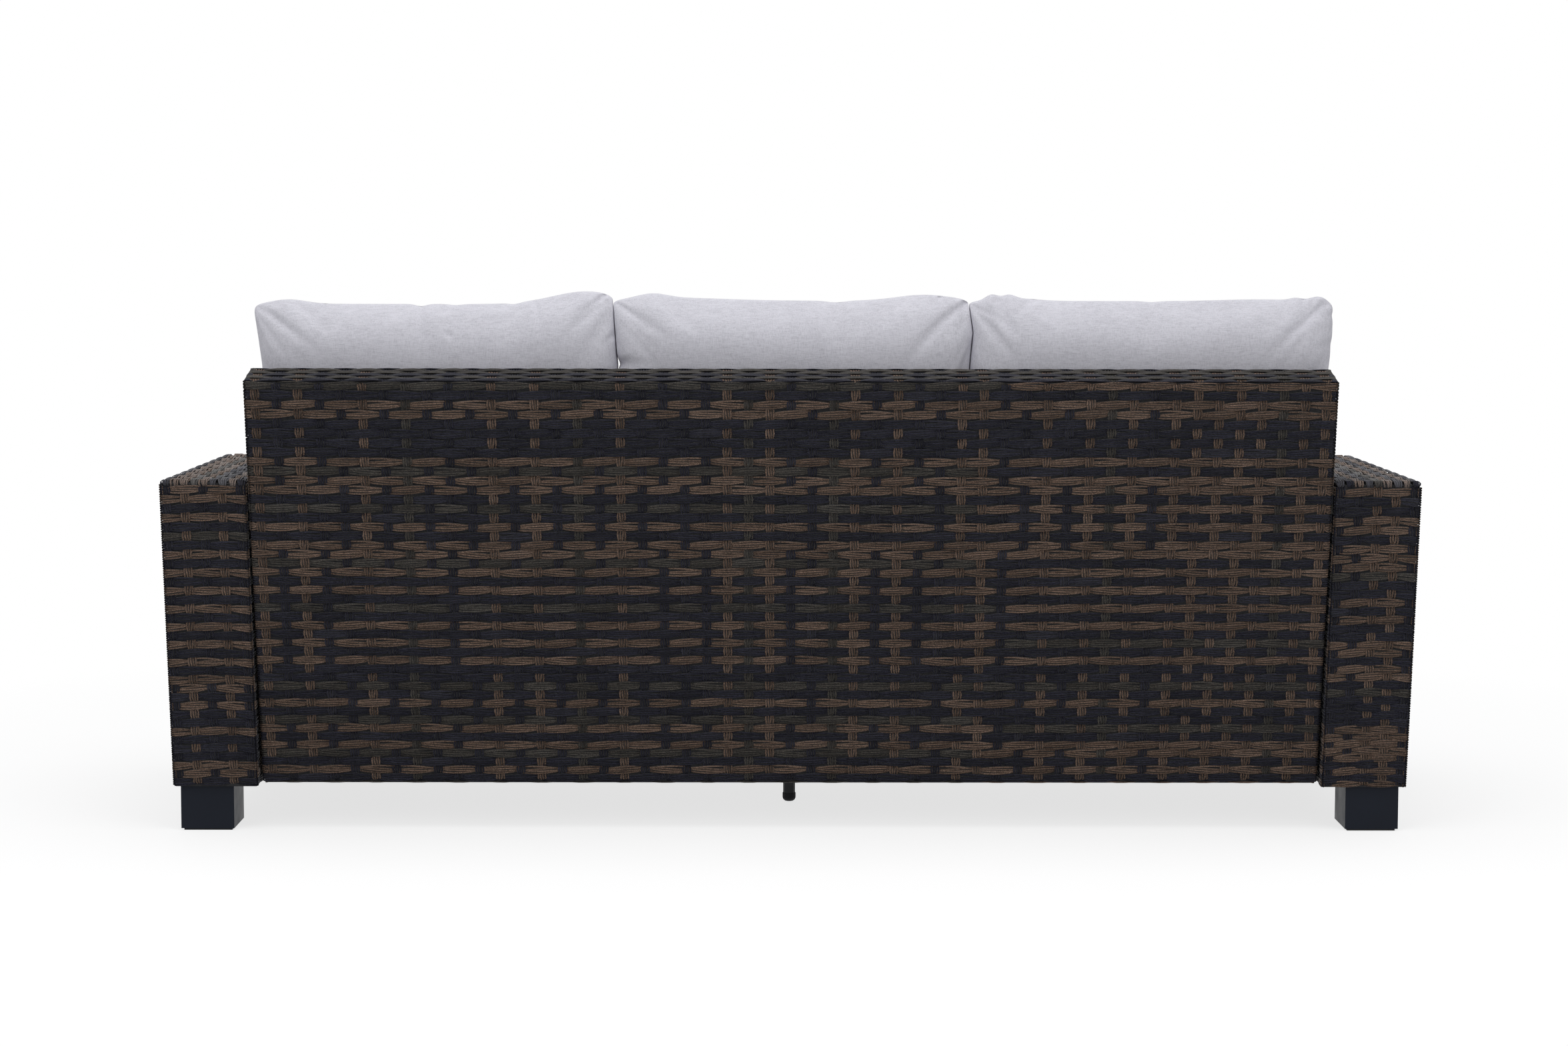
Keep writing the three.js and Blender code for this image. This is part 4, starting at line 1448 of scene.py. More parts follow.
@dataclass
class SeatWeave(WovenSkin):
    """The seat's woven deck, or the woven apron under its front edge."""

    horizontal: bool = True
    gauge: Gauge = DECK_GAUGE
    stake_count: int = 51
    course_order: str = "cbcbcobc"
    stake_order: str = "bcbccbcoccb"

    def build(self) -> None:
        """Weave one flat face."""
        self.line()
        low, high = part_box(self.node)
        width = high[0] - low[0]
        run = high[1] - low[1] if self.horizontal else high[2] - low[2]
        stakes = spread(self.stake_margin, width - self.stake_margin, self.stake_count)
        stake_dyes = dyes(self.stake_order, self.stake_count)
        count = int(run / self.pitch)
        margin = (run - (count - 1) * self.pitch) / 2
        row_dyes = dyes(self.course_order, count)
        loom = Loom(self.gauge, self.pitch, seed=51 if self.horizontal else 52)
        for row in range(count):
            loom.lay(Course(margin + row * self.pitch, 0.0, width, stakes, row % 2, row_dyes[row],
                            stake_dyes, False, False))

        def on_deck(flat: np.ndarray) -> np.ndarray:
            """Lay flat places on the deck, its rows running along the sofa."""
            y = between(low[1] + flat[:, 1], low[1], high[1])
            return np.stack([low[0] + flat[:, 0], y, high[2] + flat[:, 2]], axis=1)

        def on_apron(flat: np.ndarray) -> np.ndarray:
            """Lay flat places on the apron's front."""
            z = between(low[2] + flat[:, 1], low[2], high[2])
            return np.stack([low[0] + flat[:, 0], low[1] - flat[:, 2], z], axis=1)

        self.pieces(loom, "deck" if self.horizontal else "face", on_deck if self.horizontal else on_apron)


# Cushions


@dataclass(frozen=True)
class Rise:
    """A place on a cushion's edge that stands proud, or is tucked in where its lift is negative."""

    place: float
    lift: float
    reach: float

    def at(self, where: float) -> float:
        """Its height at a place along the edge."""
        return self.lift * math.exp(-((where - self.place) / self.reach) ** 2)


@dataclass(frozen=True)
class Crease:
    """A valley in a back cushion's rear face, from a point to a point, each along X and Z."""

    start: tuple[float, float]
    end: tuple[float, float]
    depth: float
    width: float = 5 * MM

    def carve(self, places: np.ndarray) -> np.ndarray:
        """Sink a valley with a low shoulder on each side, fading to its ends.

        Args:
            places: the cover's points.

        Returns:
            How far each point sinks.
        """
        start = np.array(self.start)
        run = np.array(self.end) - start
        length = float(np.linalg.norm(run))
        along = run / length
        offset = places[:, (0, 2)] - start
        travelled = offset @ along
        aside = np.abs(offset[:, 0] * along[1] - offset[:, 1] * along[0]) / self.width
        over = np.maximum(0.0, np.maximum(-travelled, travelled - length)) / self.width
        taper = np.clip(1.0 - travelled / length, 0.25, 1.0) * np.exp(-(over ** 2))
        shoulder = 0.4 * np.exp(-((aside - 1.9) ** 2) / 0.8)
        return self.depth * taper * (np.exp(-(aside ** 2)) - shoulder)


SIDE_HEIGHTS = (0.44, 0.60, 0.737, 0.79, 0.835)


@dataclass(frozen=True)
class Side:
    """The line of a cushion's side seen from behind: its places along X from its top to its foot."""

    top: float
    middle: float
    low: float
    foot: float
    tucks: tuple[Rise, ...] = ()
    squeeze: float = 0.0

    def at(self, height: float | np.ndarray) -> float | np.ndarray:
        """The place along X at a height."""
        places = (self.foot, (self.foot + self.low) / 2, self.low, self.middle, self.top)
        return np.interp(height, SIDE_HEIGHTS, places)


@dataclass(frozen=True)
class Cloth:
    """How the covers' cloth behaves while they swell."""

    quality: int = 5
    mass: float = 0.3
    tension_stiffness: float = 18.0
    compression_stiffness: float = 12.0
    shear_stiffness: float = 5.0
    bending_stiffness: float = 0.15


@dataclass
class Cushion:
    """A stuffed cushion of two panels and a strip between them, swollen by a cloth simulation."""

    name: str
    fill: float
    cloth: Cloth = Cloth()
    frames: int = 20
    crowding: float = 0.9
    cell: float = 7 * MM
    levels: int = 2
    pressure: float = 3.0
    growth: float = 0.003
    rim_growth: float = 0.018
    rim_width: float = 55 * MM
    cap: float = 14 * MM

    def __post_init__(self) -> None:
        """Look up the boxes that the cushion is fitted to."""
        self.low, self.high = (Vector(corner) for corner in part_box(self.name))
        self.panel_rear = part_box("back_weave")[1][1]

    def counts(self) -> tuple[int, int]:
        """How many faces a panel has across and upward."""
        size = self.high - self.low
        return int(round(size.x / self.cell)), int(round(max(size.y, size.z) / self.cell))

    def crowded(self, even: float) -> float:
        """Move an even place, from -1 to 1, toward the nearer rim, where the faces are smaller."""
        quarter = math.pi / 2 * self.crowding
        return math.sin(math.pi / 2 * even * self.crowding) / math.sin(quarter)

    def place(self, u: float, v: float, side: float) -> Vector:
        """Where a point of a panel lies before the cushion swells.

        Args:
            u: from -1 to 1 across.
            v: from -1 to 1 upward.
            side: 1 on the first panel and -1 on the second.

        Returns:
            The point.
        """
        raise NotImplementedError

    def seam_level(self, level: int) -> bool:
        """Whether a level of the strip between the panels is a seam."""
        return level in (0, self.levels)

    def limits(self, world: np.ndarray) -> np.ndarray:
        """Hold the swollen cushion's points within what it rests on."""
        raise NotImplementedError

    def grid(self) -> tuple[list[Vector], list[tuple[int, ...]], list[int], list[int]]:
        """Build the unswollen cushion.

        Returns:
            Its points, its faces, the points that are held, and those of its seams.
        """
        across, upward = self.counts()
        points: list[Vector] = []
        index: dict[tuple, int] = {}

        def point(key: tuple, where: Callable[[], Vector]) -> int:
            """Number a point, which is added the first time that it is asked for.

            Args:
                key: what tells it from the others.
                where: gives its place.

            Returns:
                Its number.
            """
            if key not in index:
                index[key] = len(points)
                points.append(where())
            return index[key]

        def panel_point(i: int, j: int, side: int) -> int:
            """Number a point of a panel.

            Args:
                i: its column.
                j: its row.
                side: 1 on the first panel and -1 on the second.

            Returns:
                Its number.
            """
            u = self.crowded(2 * i / across - 1)
            v = self.crowded(2 * j / upward - 1)
            return point((i, j, side), lambda: self.place(u, v, float(side)))

        faces: list[tuple[int, ...]] = []
        for side in (-1, 1):
            for i in range(across):
                for j in range(upward):
                    corners = [panel_point(i, j, side), panel_point(i + 1, j, side),
                               panel_point(i + 1, j + 1, side), panel_point(i, j + 1, side)]
                    faces.append(tuple(corners if side > 0 else reversed(corners)))
        rim = [(i, 0) for i in range(across)]
        rim += [(across, j) for j in range(upward)]
        rim += [(i, upward) for i in range(across, 0, -1)]
        rim += [(0, j) for j in range(upward, 0, -1)]

        def strip_point(step: int, level: int) -> int:
            """Number a point of the strip, whose first and last levels are the panels' rims.

            Args:
                step: how far round the rim it is.
                level: how far across the strip.

            Returns:
                Its number.
            """
            i, j = rim[step % len(rim)]
            if level == 0:
                return panel_point(i, j, -1)
            if level == self.levels:
                return panel_point(i, j, 1)
            first = points[panel_point(i, j, -1)]
            last = points[panel_point(i, j, 1)]
            return point((i, j, "strip", level), lambda: first.lerp(last, level / self.levels))

        for step in range(len(rim)):
            for level in range(self.levels):
                faces.append((strip_point(step, level), strip_point(step + 1, level),
                              strip_point(step + 1, level + 1), strip_point(step, level + 1)))
        rims = [panel_point(i, j, side) for side in (-1, 1) for i, j in rim]
        seams = [strip_point(step, level) for step in range(len(rim)) for level in range(self.levels + 1)
                 if self.seam_level(level)]
        return points, faces, rims + seams, seams

    def swell(self, piece: bpy.types.Object, held: list[int]) -> None:
        """Blow the cushion up with cloth that is a little too large, its seams held.

        Args:
            piece: the unswollen cushion, which is changed.
            held: the points that stay where they are.
        """
        rest = np.array([tuple(vertex.co) for vertex in piece.data.vertices])
        group = piece.vertex_groups.new(name="held")
        group.add(held, 1.0, "REPLACE")
        modifier = piece.modifiers.new("cloth", "CLOTH")
        settings = modifier.settings
        for name, value in asdict(self.cloth).items():
            setattr(settings, name, value)
        settings.use_pressure = True
        settings.uniform_pressure_force = self.pressure
        settings.vertex_group_mass = "held"
        loose = piece.vertex_groups.new(name="loose")
        rims = rest[held]
        for number, where in enumerate(rest):
            away = float(np.min(np.linalg.norm(rims - where, axis=1)))
            loose.add([number], math.exp(-(away / self.rim_width) ** 2), "REPLACE")
        settings.vertex_group_shrink = "loose"
        settings.shrink_min = -self.growth
        settings.shrink_max = -self.rim_growth
        settings.effector_weights.gravity = 0.0
        modifier.collision_settings.use_collision = False
        modifier.point_cache.frame_start = 1
        modifier.point_cache.frame_end = self.frames
        scene = bpy.context.scene
        for step in range(1, self.frames + 1):
            scene.frame_set(step)
        view_layer = bpy.context.evaluated_depsgraph_get()
        done = bpy.data.meshes.new_from_object(piece.evaluated_get(view_layer))
        swollen = np.array([tuple(vertex.co) for vertex in done.vertices])
        piece.modifiers.remove(modifier)
        piece.vertex_groups.clear()
        bpy.data.meshes.remove(done)
        scene.frame_set(1)
        shift = swollen - rest
        far = np.linalg.norm(shift, axis=1, keepdims=True)
        shift *= self.cap * np.tanh(far / self.cap) / np.maximum(far, 1e-9)
        piece.data.vertices.foreach_set("co", (rest + shift).ravel())
        piece.data.update()
        log.info("%s: swelled by up to %.1f mm", self.name, float(far.max()) * 1000)

    def build(self) -> bpy.types.Object:
        """Build the cushion, swell it, settle it in its place and dress it.

        Returns:
            Its cover.
        """
        points, faces, held, seams = self.grid()
        mesh = bpy.data.meshes.new(self.name)
        mesh.from_pydata(points, [], faces)
        # the seam marks, along which the cloth's finish paints shade
        marks = np.zeros(len(points), dtype=np.float32)
        marks[seams] = 1.0
        mesh.attributes.new("seam", "FLOAT", "POINT").data.foreach_set("value", marks)
        mesh.update()
        piece = bpy.data.objects.new(f"{self.name}_cover", mesh)
        bpy.context.scene.collection.objects.link(piece)
        self.swell(piece, held)
        subdivision = piece.modifiers.new("smooth", "SUBSURF")
        subdivision.levels = 1
        subdivision.render_levels = 1
        view_layer = bpy.context.evaluated_depsgraph_get()
        fine = bpy.data.meshes.new_from_object(piece.evaluated_get(view_layer))
        piece.modifiers.remove(subdivision)
        piece.data = fine
        places = np.empty(len(piece.data.vertices) * 3)
        piece.data.vertices.foreach_get("co", places)
        settled = self.limits(places.reshape(-1, 3))
        piece.data.vertices.foreach_set("co", settled.ravel())
        piece.data.shade_smooth()
        piece.data.materials.clear()
        piece.data.materials.append(LINEN.material())
        piece.data.update()
        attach(piece, self.name)
        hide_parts(self.name)
        log.info("%s: %d faces", self.name, len(piece.data.polygons))
        return piece


def press(values: np.ndarray, limit: float | np.ndarray, below: bool, soft: float = 3 * MM) -> np.ndarray:
    """Hold values on one side of a limit, with a soft shoulder where they meet it.

    Args:
        values: the values.
        limit: the limit, or one for each value.
        below: True to keep them under it, False to keep them over it.
        soft: the width of the shoulder.

    Returns:
        The held values.
    """
    sign = 1.0 if below else -1.0
    room = (limit - values) * sign
    held = soft * np.log1p(np.exp(np.clip(room / soft, -40, 40)))
    return limit - sign * np.where(room > 8 * soft, room, held)


def between(values: np.ndarray, low: float, high: float) -> np.ndarray:
    """Hold values between two limits, a shoulder's width inside each."""
    return press(press(values, high - SHOULDER, True, SHOULDER), low + SHOULDER, False, SHOULDER)


def rounded(power: float, u: float, v: float) -> float:
    """How far a point of a square comes in so that the square's corners are rounded."""
    largest = max(abs(u), abs(v))
    return 1.0 if largest == 0 else largest / (abs(u) ** power + abs(v) ** power) ** (1 / power)


def bulge(power: float, u: float, v: float) -> float:
    """1 in the middle of a square and 0 at its edges."""
    return max(0.0, 1 - abs(u) ** power) * max(0.0, 1 - abs(v) ** power)


@dataclass
class BackCushion(Cushion):
    """A back cushion: a pillow with a seam round its edge. It leans on the panel and stands on its seat."""

    left: Side = Side(0.0, 0.0, 0.0, 0.0)
    right: Side = Side(0.0, 0.0, 0.0, 0.0)
    top: float = 0.836
    rises: tuple[Rise, ...] = ()
    creases: tuple[Crease, ...] = ()
    foot_drop: float = 21 * MM
    corner_power: float = 34.0
    seam: float = 10 * MM
    rear_half: float = 60 * MM
    front_half: float = 75 * MM
    seam_depth: float = 50 * MM
    gap: float = 0.35 * MM
    seat: BVHTree | None = None
    seat_gap: float = 1 * MM
    seat_rim_drop: float = 14 * MM
    seat_reach: float = 30 * MM
    seat_shoulder: float = 2 * MM
    wall_gap: float = 1.5 * MM
    wall_shoulder: float = 7 * MM

    def stand_on(self, seat: bpy.types.Object) -> None:
        """Note the cover of the seat cushion that this one stands on."""
        corners = [vertex.co for vertex in seat.data.vertices]
        self.seat = BVHTree.FromPolygons(corners, [face.vertices for face in seat.data.polygons])

    def seat_height(self, places: np.ndarray) -> np.ndarray:
        """Measure the seat cushion under each point.

        Args:
            places: the points.

        Returns:
            The cover's height under each point, or the height of its rim for a point beside it.
        """
        heights = np.full(len(places), self.low.z - self.seat_rim_drop)
        down = Vector((0.0, 0.0, -1.0))
        for number in np.flatnonzero(places[:, 2] < self.low.z + self.seat_reach):
            above = Vector((places[number, 0], places[number, 1], self.low.z + 2 * self.seat_reach))
            hit = self.seat.ray_cast(above, down)[0]
            if hit is not None:
                heights[number] = max(heights[number], hit.z)
        return heights

    def seam_level(self, level: int) -> bool:
        """One seam, in the middle of the strip."""
        return level == 1

    def wall(self, height: float | np.ndarray) -> float | np.ndarray:
        """How far back the panel's front face is at a height, carried on above the panel."""
        top = self.panel_rear - BACK_THICKNESS / math.cos(BACK_LEAN)
        return top - (BACK_TOP - height) * math.tan(BACK_LEAN)

    def seam_line(self, height: float | np.ndarray) -> float | np.ndarray:
        """How far back the pillow's seam is at a height."""
        return self.wall(height) - self.seam_depth / math.cos(BACK_LEAN)

    def place(self, u: float, v: float, side: float) -> Vector:
        """Place a point of the pillow, which is fullest in its middle and thin at its seam.

        Args:
            u: from -1 to 1 across.
            v: from -1 to 1 upward.
            side: 1 on the rear panel and -1 on the front one.

        Returns:
            The point.
        """
        foot = self.low.z - self.foot_drop
        share = rounded(self.corner_power, u, v)
        crest = self.top + sum(rise.at(u) for rise in self.rises)
        height = foot + (v * share + 1) / 2 * (crest - foot)
        left = self.left.at(height) + self.left.squeeze + sum(tuck.at(height) for tuck in self.left.tucks)
        right = self.right.at(height) - self.right.squeeze - sum(tuck.at(height) for tuck in self.right.tucks)
        x = left + (u * share + 1) / 2 * (right - left)
        half = self.rear_half if side > 0 else self.front_half
        full = max(0.0, 1 - abs(u) ** 7) ** 0.5 * max(0.0, 1 - abs(v) ** 2.8) ** 0.65
        thick = self.seam / 2 + (half - self.seam / 2) * full
        return Vector((x, self.seam_line(height) + side * thick / math.cos(BACK_LEAN), height))

    def limits(self, world: np.ndarray) -> np.ndarray:
        """Crease the cover, and keep it on the seat cushion, off the panel and clear of its neighbours.

        Args:
            world: the swollen cover's points.

        Returns:
            Where they settle.
        """
        held = world.copy()
        rear = held[:, 1] > self.seam_line(held[:, 2]) + self.seam / 2
        for crease in self.creases:
            held[:, 1] -= crease.carve(held) * rear
        left = self.left.at(held[:, 2])
        right = self.right.at(held[:, 2])
        held[:, 0] = press(held[:, 0], left - self.gap, True, SHOULDER)
        held[:, 0] = press(held[:, 0], right + self.gap, False, SHOULDER)
        held[:, 1] = press(held[:, 1], self.wall(held[:, 2]) - self.wall_gap, True, self.wall_shoulder)
        held[:, 2] = press(held[:, 2], self.seat_height(held) + self.seat_gap, False, self.seat_shoulder)
        return held


@dataclass
class SeatCushion(Cushion):
    """A seat cushion: boxed, flat underneath and a little crowned on top."""

    levels: int = 12
    cell: float = 10 * MM
    cap: float = 8 * MM
    pressure: float = 1.5
    growth: float = 0.002
    rim_growth: float = 0.03
    crown: float = 12 * MM
    draw_in: float = 8 * MM
    corner_power: float = 11.0
    crown_power: float = 6.0
    rim_drop: float = 5 * MM
    extra_crown: float = 3 * MM
    under_rise: float = 6 * MM
    side_gap: float = 4 * MM
    rest_gap: float = 0.6 * MM
    rear_gap: float = 0.5 * MM
    shoulder: float = 2 * MM

    def place(self, u: float, v: float, side: float) -> Vector:
        """Place a point of the box's crowned top or of its underside.

        Args:
            u: from -1 to 1 across.
            v: from -1 to 1 backward.
            side: 1 on the top and -1 on the underside.

        Returns:
            The point.
        """
        low = self.low
        high = self.high
        share = rounded(self.corner_power, u, v)
        across = (high[0] - low[0]) / 2 - self.draw_in * bulge(2, v, 0)
        deep = (high[1] - low[1]) / 2 - self.draw_in * bulge(2, u, 0)
        swell = bulge(self.crown_power, u, v)
        if side > 0:
            height = high[2] - self.crown - self.rim_drop + (self.crown + self.extra_crown) * swell
        else:
            height = low[2] + self.under_rise - self.under_rise * swell
        return Vector(((low[0] + high[0]) / 2 + u * share * across,
                       (low[1] + high[1]) / 2 + v * share * deep, height))

    def limits(self, world: np.ndarray) -> np.ndarray:
        """Keep the cover on the deck, under the back cushion and clear of its neighbours.

        Args:
            world: the swollen cover's points.

        Returns:
            Where they settle.
        """
        low = self.low
        high = self.high
        held = world.copy()
        held[:, 0] = press(held[:, 0], high[0] + self.side_gap, True, self.shoulder)
        held[:, 0] = press(held[:, 0], low[0] - self.side_gap, False, self.shoulder)
        held[:, 1] = press(held[:, 1], high[1] - self.rear_gap, True, self.shoulder)
        held[:, 2] = press(held[:, 2], low[2] + self.rest_gap, False, self.shoulder)
        held[:, 2] = press(held[:, 2], high[2] - self.rest_gap, True, self.shoulder)
        return held


# Frame, floor, light and camera


@dataclass
class Metalwork:
    """The solids that stay as they are, and the finish of each kind."""

    kinds: tuple[tuple[Finish, tuple[str, ...]], ...] = (
        (ZINC, ("bolt", "screw")),
        (FOOT_BLACK, ("foot_front", "foot_rear")),
        (SOFT_PLASTIC, ("glide", "cap")),
        (POWDER_COAT, ("frame", "rail", "bar", "upright", "centre_leg")),
        (LINEN, ("cushion",)),
    )

    def finish_for(self, node: str) -> Finish:
        """Choose the finish of a node by a word in its name, or else the weave's.

        Args:
            node: the node's name.

        Returns:
            Its finish.
        """
        for finish, words in self.kinds:
            if any(word in node for word in words):
                return finish
        return CHARCOAL

    def build(self) -> None:
        """Give each solid its finish."""
        for name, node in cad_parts.items():
            node.data.materials.clear()
            node.data.materials.append(self.finish_for(name).material())


@dataclass
class Studio:
    """A plain pale floor, soft light, and the camera where the photograph was taken from."""

    place: Vector = field(default_factory=lambda: Vector((0.0335, 5.2522, 0.9361)))
    pitch: float = 0.0887
    yaw: float = -0.0046
    roll: float = 0.0015
    focal_pixels: float = 4800.0
    picture_width: float = 2351.0
    floor_half: float = 16.0

    def build(self) -> None:
        """Add the camera, the floor, the world and the lamps."""
        self.add_camera()
        self.add_floor()
        self.add_world()
        self.add_lamps()

    def add_camera(self) -> None:
        """Set the camera by its place, its turn and its focal length."""
        data = bpy.data.cameras.new("camera")
        data.sensor_width = 36.0
        data.sensor_fit = "HORIZONTAL"
        data.lens = self.focal_pixels / self.picture_width * data.sensor_width
        data.clip_end = 60.0
        ahead = Vector((self.yaw, -1.0, -math.tan(self.pitch))).normalized()
        right = ahead.cross(Vector((0.0, 0.0, 1.0))).normalized()
        up = right.cross(ahead)
        turned = right * math.cos(self.roll) + up * math.sin(self.roll)
        raised = up * math.cos(self.roll) - right * math.sin(self.roll)
        axes = Matrix((turned, raised, -ahead)).transposed().to_4x4()
        camera = bpy.data.objects.new("camera", data)
        camera.matrix_world = Matrix.Translation(self.place) @ axes
        bpy.context.scene.collection.objects.link(camera)
        bpy.context.scene.camera = camera

    def seen_white(self, tree: Tree) -> Wire:
        """Tell what is seen from what only gives light.

        Args:
            tree: the tree of the floor or of the world.

        Returns:
            1 where the camera, a gloss or a glass sees it, else 0.
        """
        path = add_node(tree, "ShaderNodeLightPath")
        seen = out(path, "Is Camera Ray").math("MAXIMUM", out(path, "Is Glossy Ray"))
        return seen.math("MAXIMUM", out(path, "Is Transmission Ray"))

    def add_floor(self) -> None:
        """Add the floor: pale in itself, and near white to the camera but for the soft shadow."""
        mesh = bpy.data.meshes.new("floor")
        half = self.floor_half
        mesh.from_pydata([(-half, -half, 0), (half, -half, 0), (half, half, 0), (-half, half, 0)], [],
                         [(0, 1, 2, 3)])
        material = bpy.data.materials.new("pale_floor")
        material.use_nodes = True
        tree = material.node_tree
        tree.nodes.clear()
        plain = add_node(tree, "ShaderNodeBsdfDiffuse", {"Color": linear(225, 225, 225)})
        veil = add_node(tree, "ShaderNodeBsdfDiffuse", {"Color": (0.34, 0.34, 0.34, 1.0)})
        glow = add_node(tree, "ShaderNodeEmission", {"Color": (1, 1, 1, 1), "Strength": 0.74})
        near = add_node(tree, "ShaderNodeAddShader", {0: out(veil), 1: out(glow)})
        open_floor = add_node(tree, "ShaderNodeEmission", {"Color": (1, 1, 1, 1), "Strength": 1.0})
        where = out(add_node(tree, "ShaderNodeTexCoord"), "Object")
        reach = add_node(tree, "ShaderNodeVectorMath", {0: where}, operation="LENGTH")
        fade = stretch(tree, out(reach, "Value"), 1.3, 2.2)
        white = add_node(tree, "ShaderNodeMixShader", {0: fade, 1: out(near), 2: out(open_floor)})
        mixed = add_node(tree, "ShaderNodeMixShader",
                         {0: self.seen_white(tree), 1: out(plain), 2: out(white)})
        add_node(tree, "ShaderNodeOutputMaterial", {"Surface": out(mixed)})
        mesh.materials.append(material)
        floor = bpy.data.objects.new("floor", mesh)
        bpy.context.scene.collection.objects.link(floor)

    def add_world(self) -> None:
        """Light the sofa evenly from all round, and show white behind it."""
        world = bpy.data.worlds.new("studio")
        world.use_nodes = True
        tree = world.node_tree
        tree.nodes.clear()
        soft = add_node(tree, "ShaderNodeBackground", {"Color": (0.98, 0.985, 1.0, 1.0), "Strength": 0.46})
        white = add_node(tree, "ShaderNodeBackground", {"Color": (1, 1, 1, 1), "Strength": 1.0})
        mixed = add_node(tree, "ShaderNodeMixShader", {0: self.seen_white(tree), 1: out(soft), 2: out(white)})
        add_node(tree, "ShaderNodeOutputWorld", {"Surface": out(mixed)})
        bpy.context.scene.world = world

    def add_lamps(self) -> None:
        """Add a broad lamp over the sofa and a weaker one from each side of the camera."""
        self.add_lamp("overhead", Vector((0.0, 0.9, 3.4)), Vector((0.0, 0.1, 0.4)), 3.2, 52.0)
        self.add_lamp("left_front", Vector((2.6, 4.2, 2.4)), Vector((0.0, 0.2, 0.4)), 2.0, 23.0)
        self.add_lamp("right_front", Vector((-2.6, 4.2, 2.2)), Vector((0.0, 0.2, 0.4)), 2.0, 18.0)

    def add_lamp(self, name: str, place: Vector, target: Vector, size: float, power: float) -> None:
        """Add one square lamp that faces a target.

        Args:
            name: the lamp's name.
            place: where it hangs.
            target: what it faces.
            size: its side, in metres.
            power: its power, in watts.
        """
        data = bpy.data.lights.new(name, "AREA")
        data.size = size
        data.energy = power
        lamp = bpy.data.objects.new(name, data)
        lamp.location = place
        lamp.rotation_euler = (target - place).to_track_quat("-Z", "Y").to_euler()
        bpy.context.scene.collection.objects.link(lamp)


LEFT_GAP = Side(top=0.2766, middle=0.2738, low=0.2699, foot=0.2798, squeeze=4 * MM)
RIGHT_GAP = Side(top=-0.2760, middle=-0.2833, low=-0.2785, foot=-0.2798, squeeze=4 * MM)


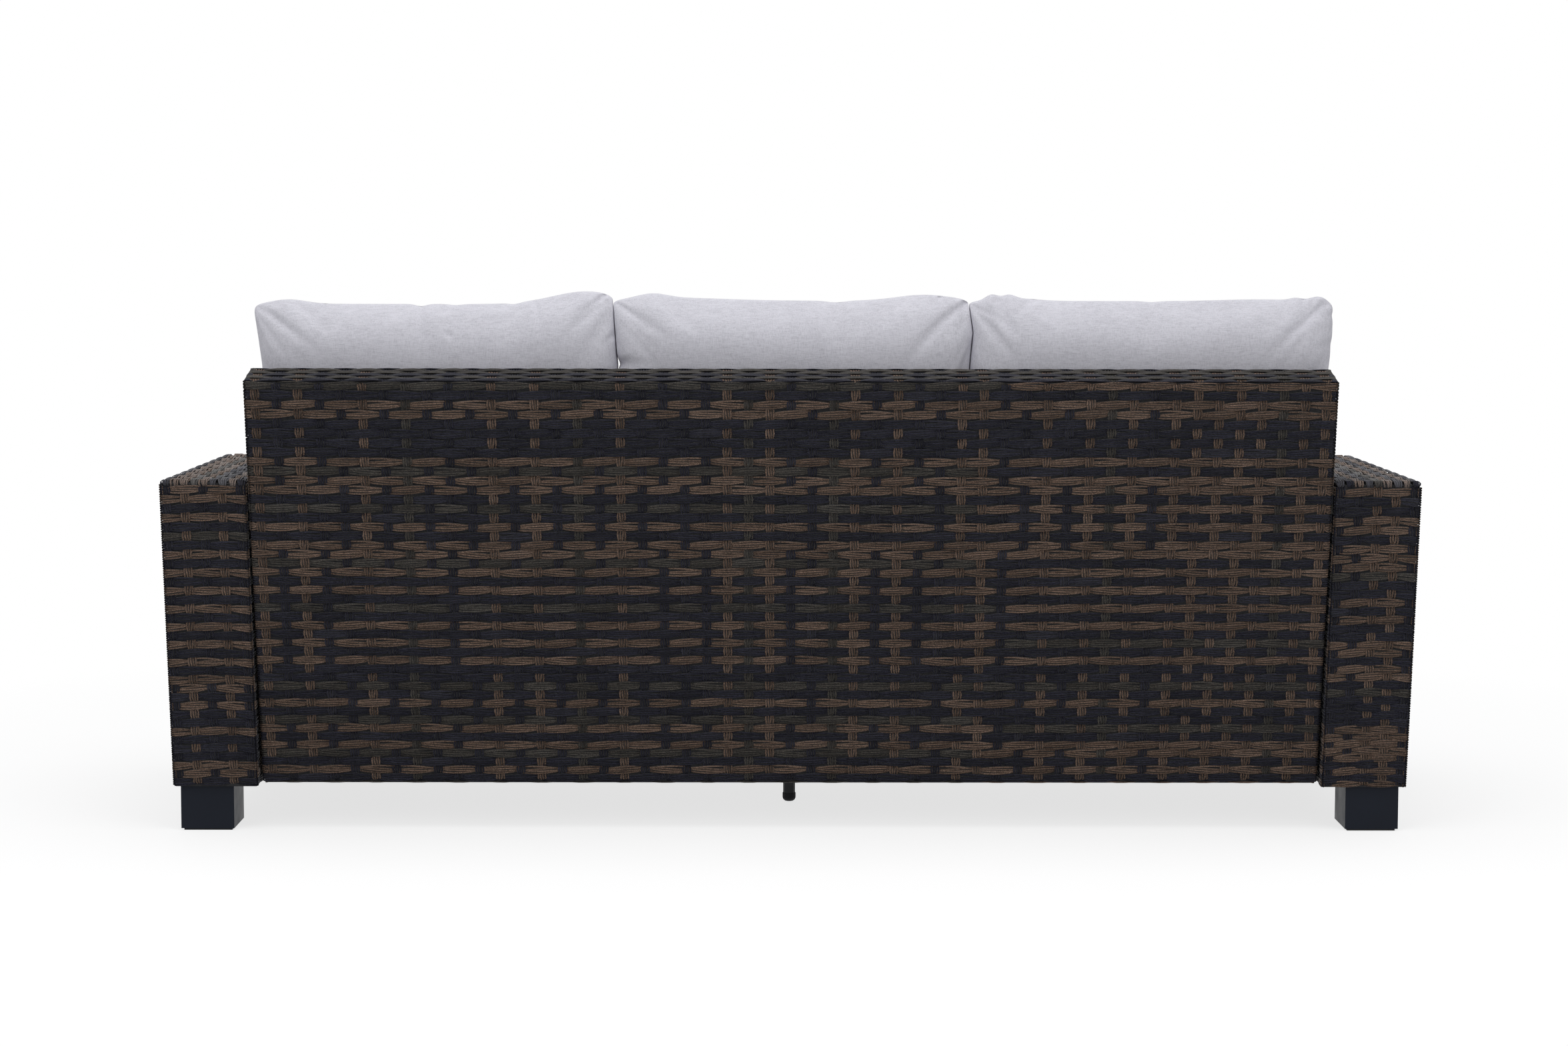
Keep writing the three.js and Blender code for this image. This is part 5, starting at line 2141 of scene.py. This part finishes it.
def back_cushions() -> list[BackCushion]:
    """List the back cushions as they are photographed, each slumped and creased in its own way.

    Returns:
        The left, the middle and the right one.
    """
    left = BackCushion(
        "back_cushion_left", fill=0.7, top=0.8335,
        left=Side(top=0.8367, middle=0.8315, low=0.8263, foot=0.8325), right=LEFT_GAP,
        rises=(Rise(-0.80, 7 * MM, 0.13), Rise(0.84, 20 * MM, 0.27), Rise(-0.075, -5 * MM, 0.026),
               Rise(0.12, -2.5 * MM, 0.03), Rise(0.44, -3 * MM, 0.03)),
        creases=(Crease((0.7212, 0.836), (0.7419, 0.803), 3.5 * MM),
                 Crease((0.5752, 0.829), (0.5772, 0.797), 3 * MM),
                 Crease((0.5317, 0.788), (0.5172, 0.776), 2.5 * MM, 4 * MM),
                 Crease((0.3992, 0.840), (0.3837, 0.785), 2.5 * MM),
                 Crease((0.2905, 0.8475), (0.3246, 0.8225), 3.5 * MM, 4 * MM),
                 Crease((0.2740, 0.788), (0.2905, 0.7726), 3 * MM, 4 * MM)))
    middle = BackCushion(
        "back_cushion_middle", fill=0.7, top=0.8395,
        left=replace(LEFT_GAP, tucks=(Rise(0.742, -12 * MM, 0.006),)), right=RIGHT_GAP,
        rises=(Rise(-0.77, 8 * MM, 0.12), Rise(-0.6, 4 * MM, 0.35), Rise(0.74, 9.5 * MM, 0.22),
               Rise(0.25, -3 * MM, 0.06)),
        creases=(Crease((-0.077, 0.840), (-0.0677, 0.813), 3 * MM),
                 Crease((-0.2706, 0.838), (-0.2664, 0.807), 4 * MM),
                 Crease((0.2699, 0.7413), (0.2471, 0.7497), 5 * MM, 4 * MM),
                 Crease((-0.2300, 0.846), (-0.2420, 0.826), 3 * MM, 4 * MM)))
    right = BackCushion(
        "back_cushion_right", fill=0.7, top=0.8395, left=RIGHT_GAP,
        right=Side(top=-0.8437, middle=-0.8447, low=-0.8416, foot=-0.8325,
                   tucks=(Rise(0.8173, -2.5 * MM, 0.005), Rise(0.7706, -2.5 * MM, 0.005))),
        rises=(Rise(-0.86, 9 * MM, 0.045), Rise(-0.765, 7 * MM, 0.04), Rise(-0.72, 4 * MM, 0.15),
               Rise(0.01, -2 * MM, 0.04), Rise(0.60, 3 * MM, 0.3), Rise(0.795, 4 * MM, 0.04),
               Rise(0.92, 7 * MM, 0.06)),
        creases=(Crease((-0.3798, 0.845), (-0.3498, 0.8215), 3.5 * MM),
                 Crease((-0.5615, 0.838), (-0.5640, 0.8215), 2.5 * MM),
                 Crease((-0.7964, 0.8447), (-0.792, 0.832), 3.5 * MM, 4 * MM)))
    return [left, middle, right]


def build_cushions() -> None:
    """Build each seat cushion and then the back cushion that stands on it."""
    for back in back_cushions():
        seat = SeatCushion(back.name.replace("back", "seat"), fill=0.8)
        back.stand_on(seat.build())
        back.build()


def main() -> None:
    """Build the studio, the metalwork, the woven skins and the cushions, and note the sizes."""
    logging.basicConfig(level=logging.INFO, format="%(message)s")
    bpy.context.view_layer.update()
    scene = bpy.context.scene
    scene.view_settings.view_transform = "Standard"
    Studio().build()
    Metalwork().build()
    weave = WeaveTree().tree
    BackPanel(weave, "back", "back_weave", pitch=14.6 * MM, top_pitch=15.35 * MM,
              narrowing=0.01705 * MM).build()
    Arm(weave, "arm_left", "arm_weave_left", pitch=14.4 * MM, top_pitch=15.0 * MM,
        narrowing=0.0176 * MM).build()
    Arm(weave, "arm_right", "arm_weave_right", pitch=14.4 * MM, top_pitch=15.6 * MM,
        narrowing=0.066 * MM, side=-1.0, first_course=15 * MM, stake_order="ccbbc",
        course_order="bccbb" + "cbbbo" + "ccbcb" + "ccbbc" + "bbcoc" + "cccbb" + "bbbcb" + "c",
        top_order="ccbcobcbc").build()
    SeatWeave(weave, "seat", "seat_deck_weave", pitch=14.5 * MM, lining_depth=2.2 * MM).build()
    SeatWeave(weave, "apron", "front_apron_weave", pitch=14.5 * MM, horizontal=False,
              gauge=FINE_GAUGE).build()
    build_cushions()


if __name__ == "__main__":
    main()
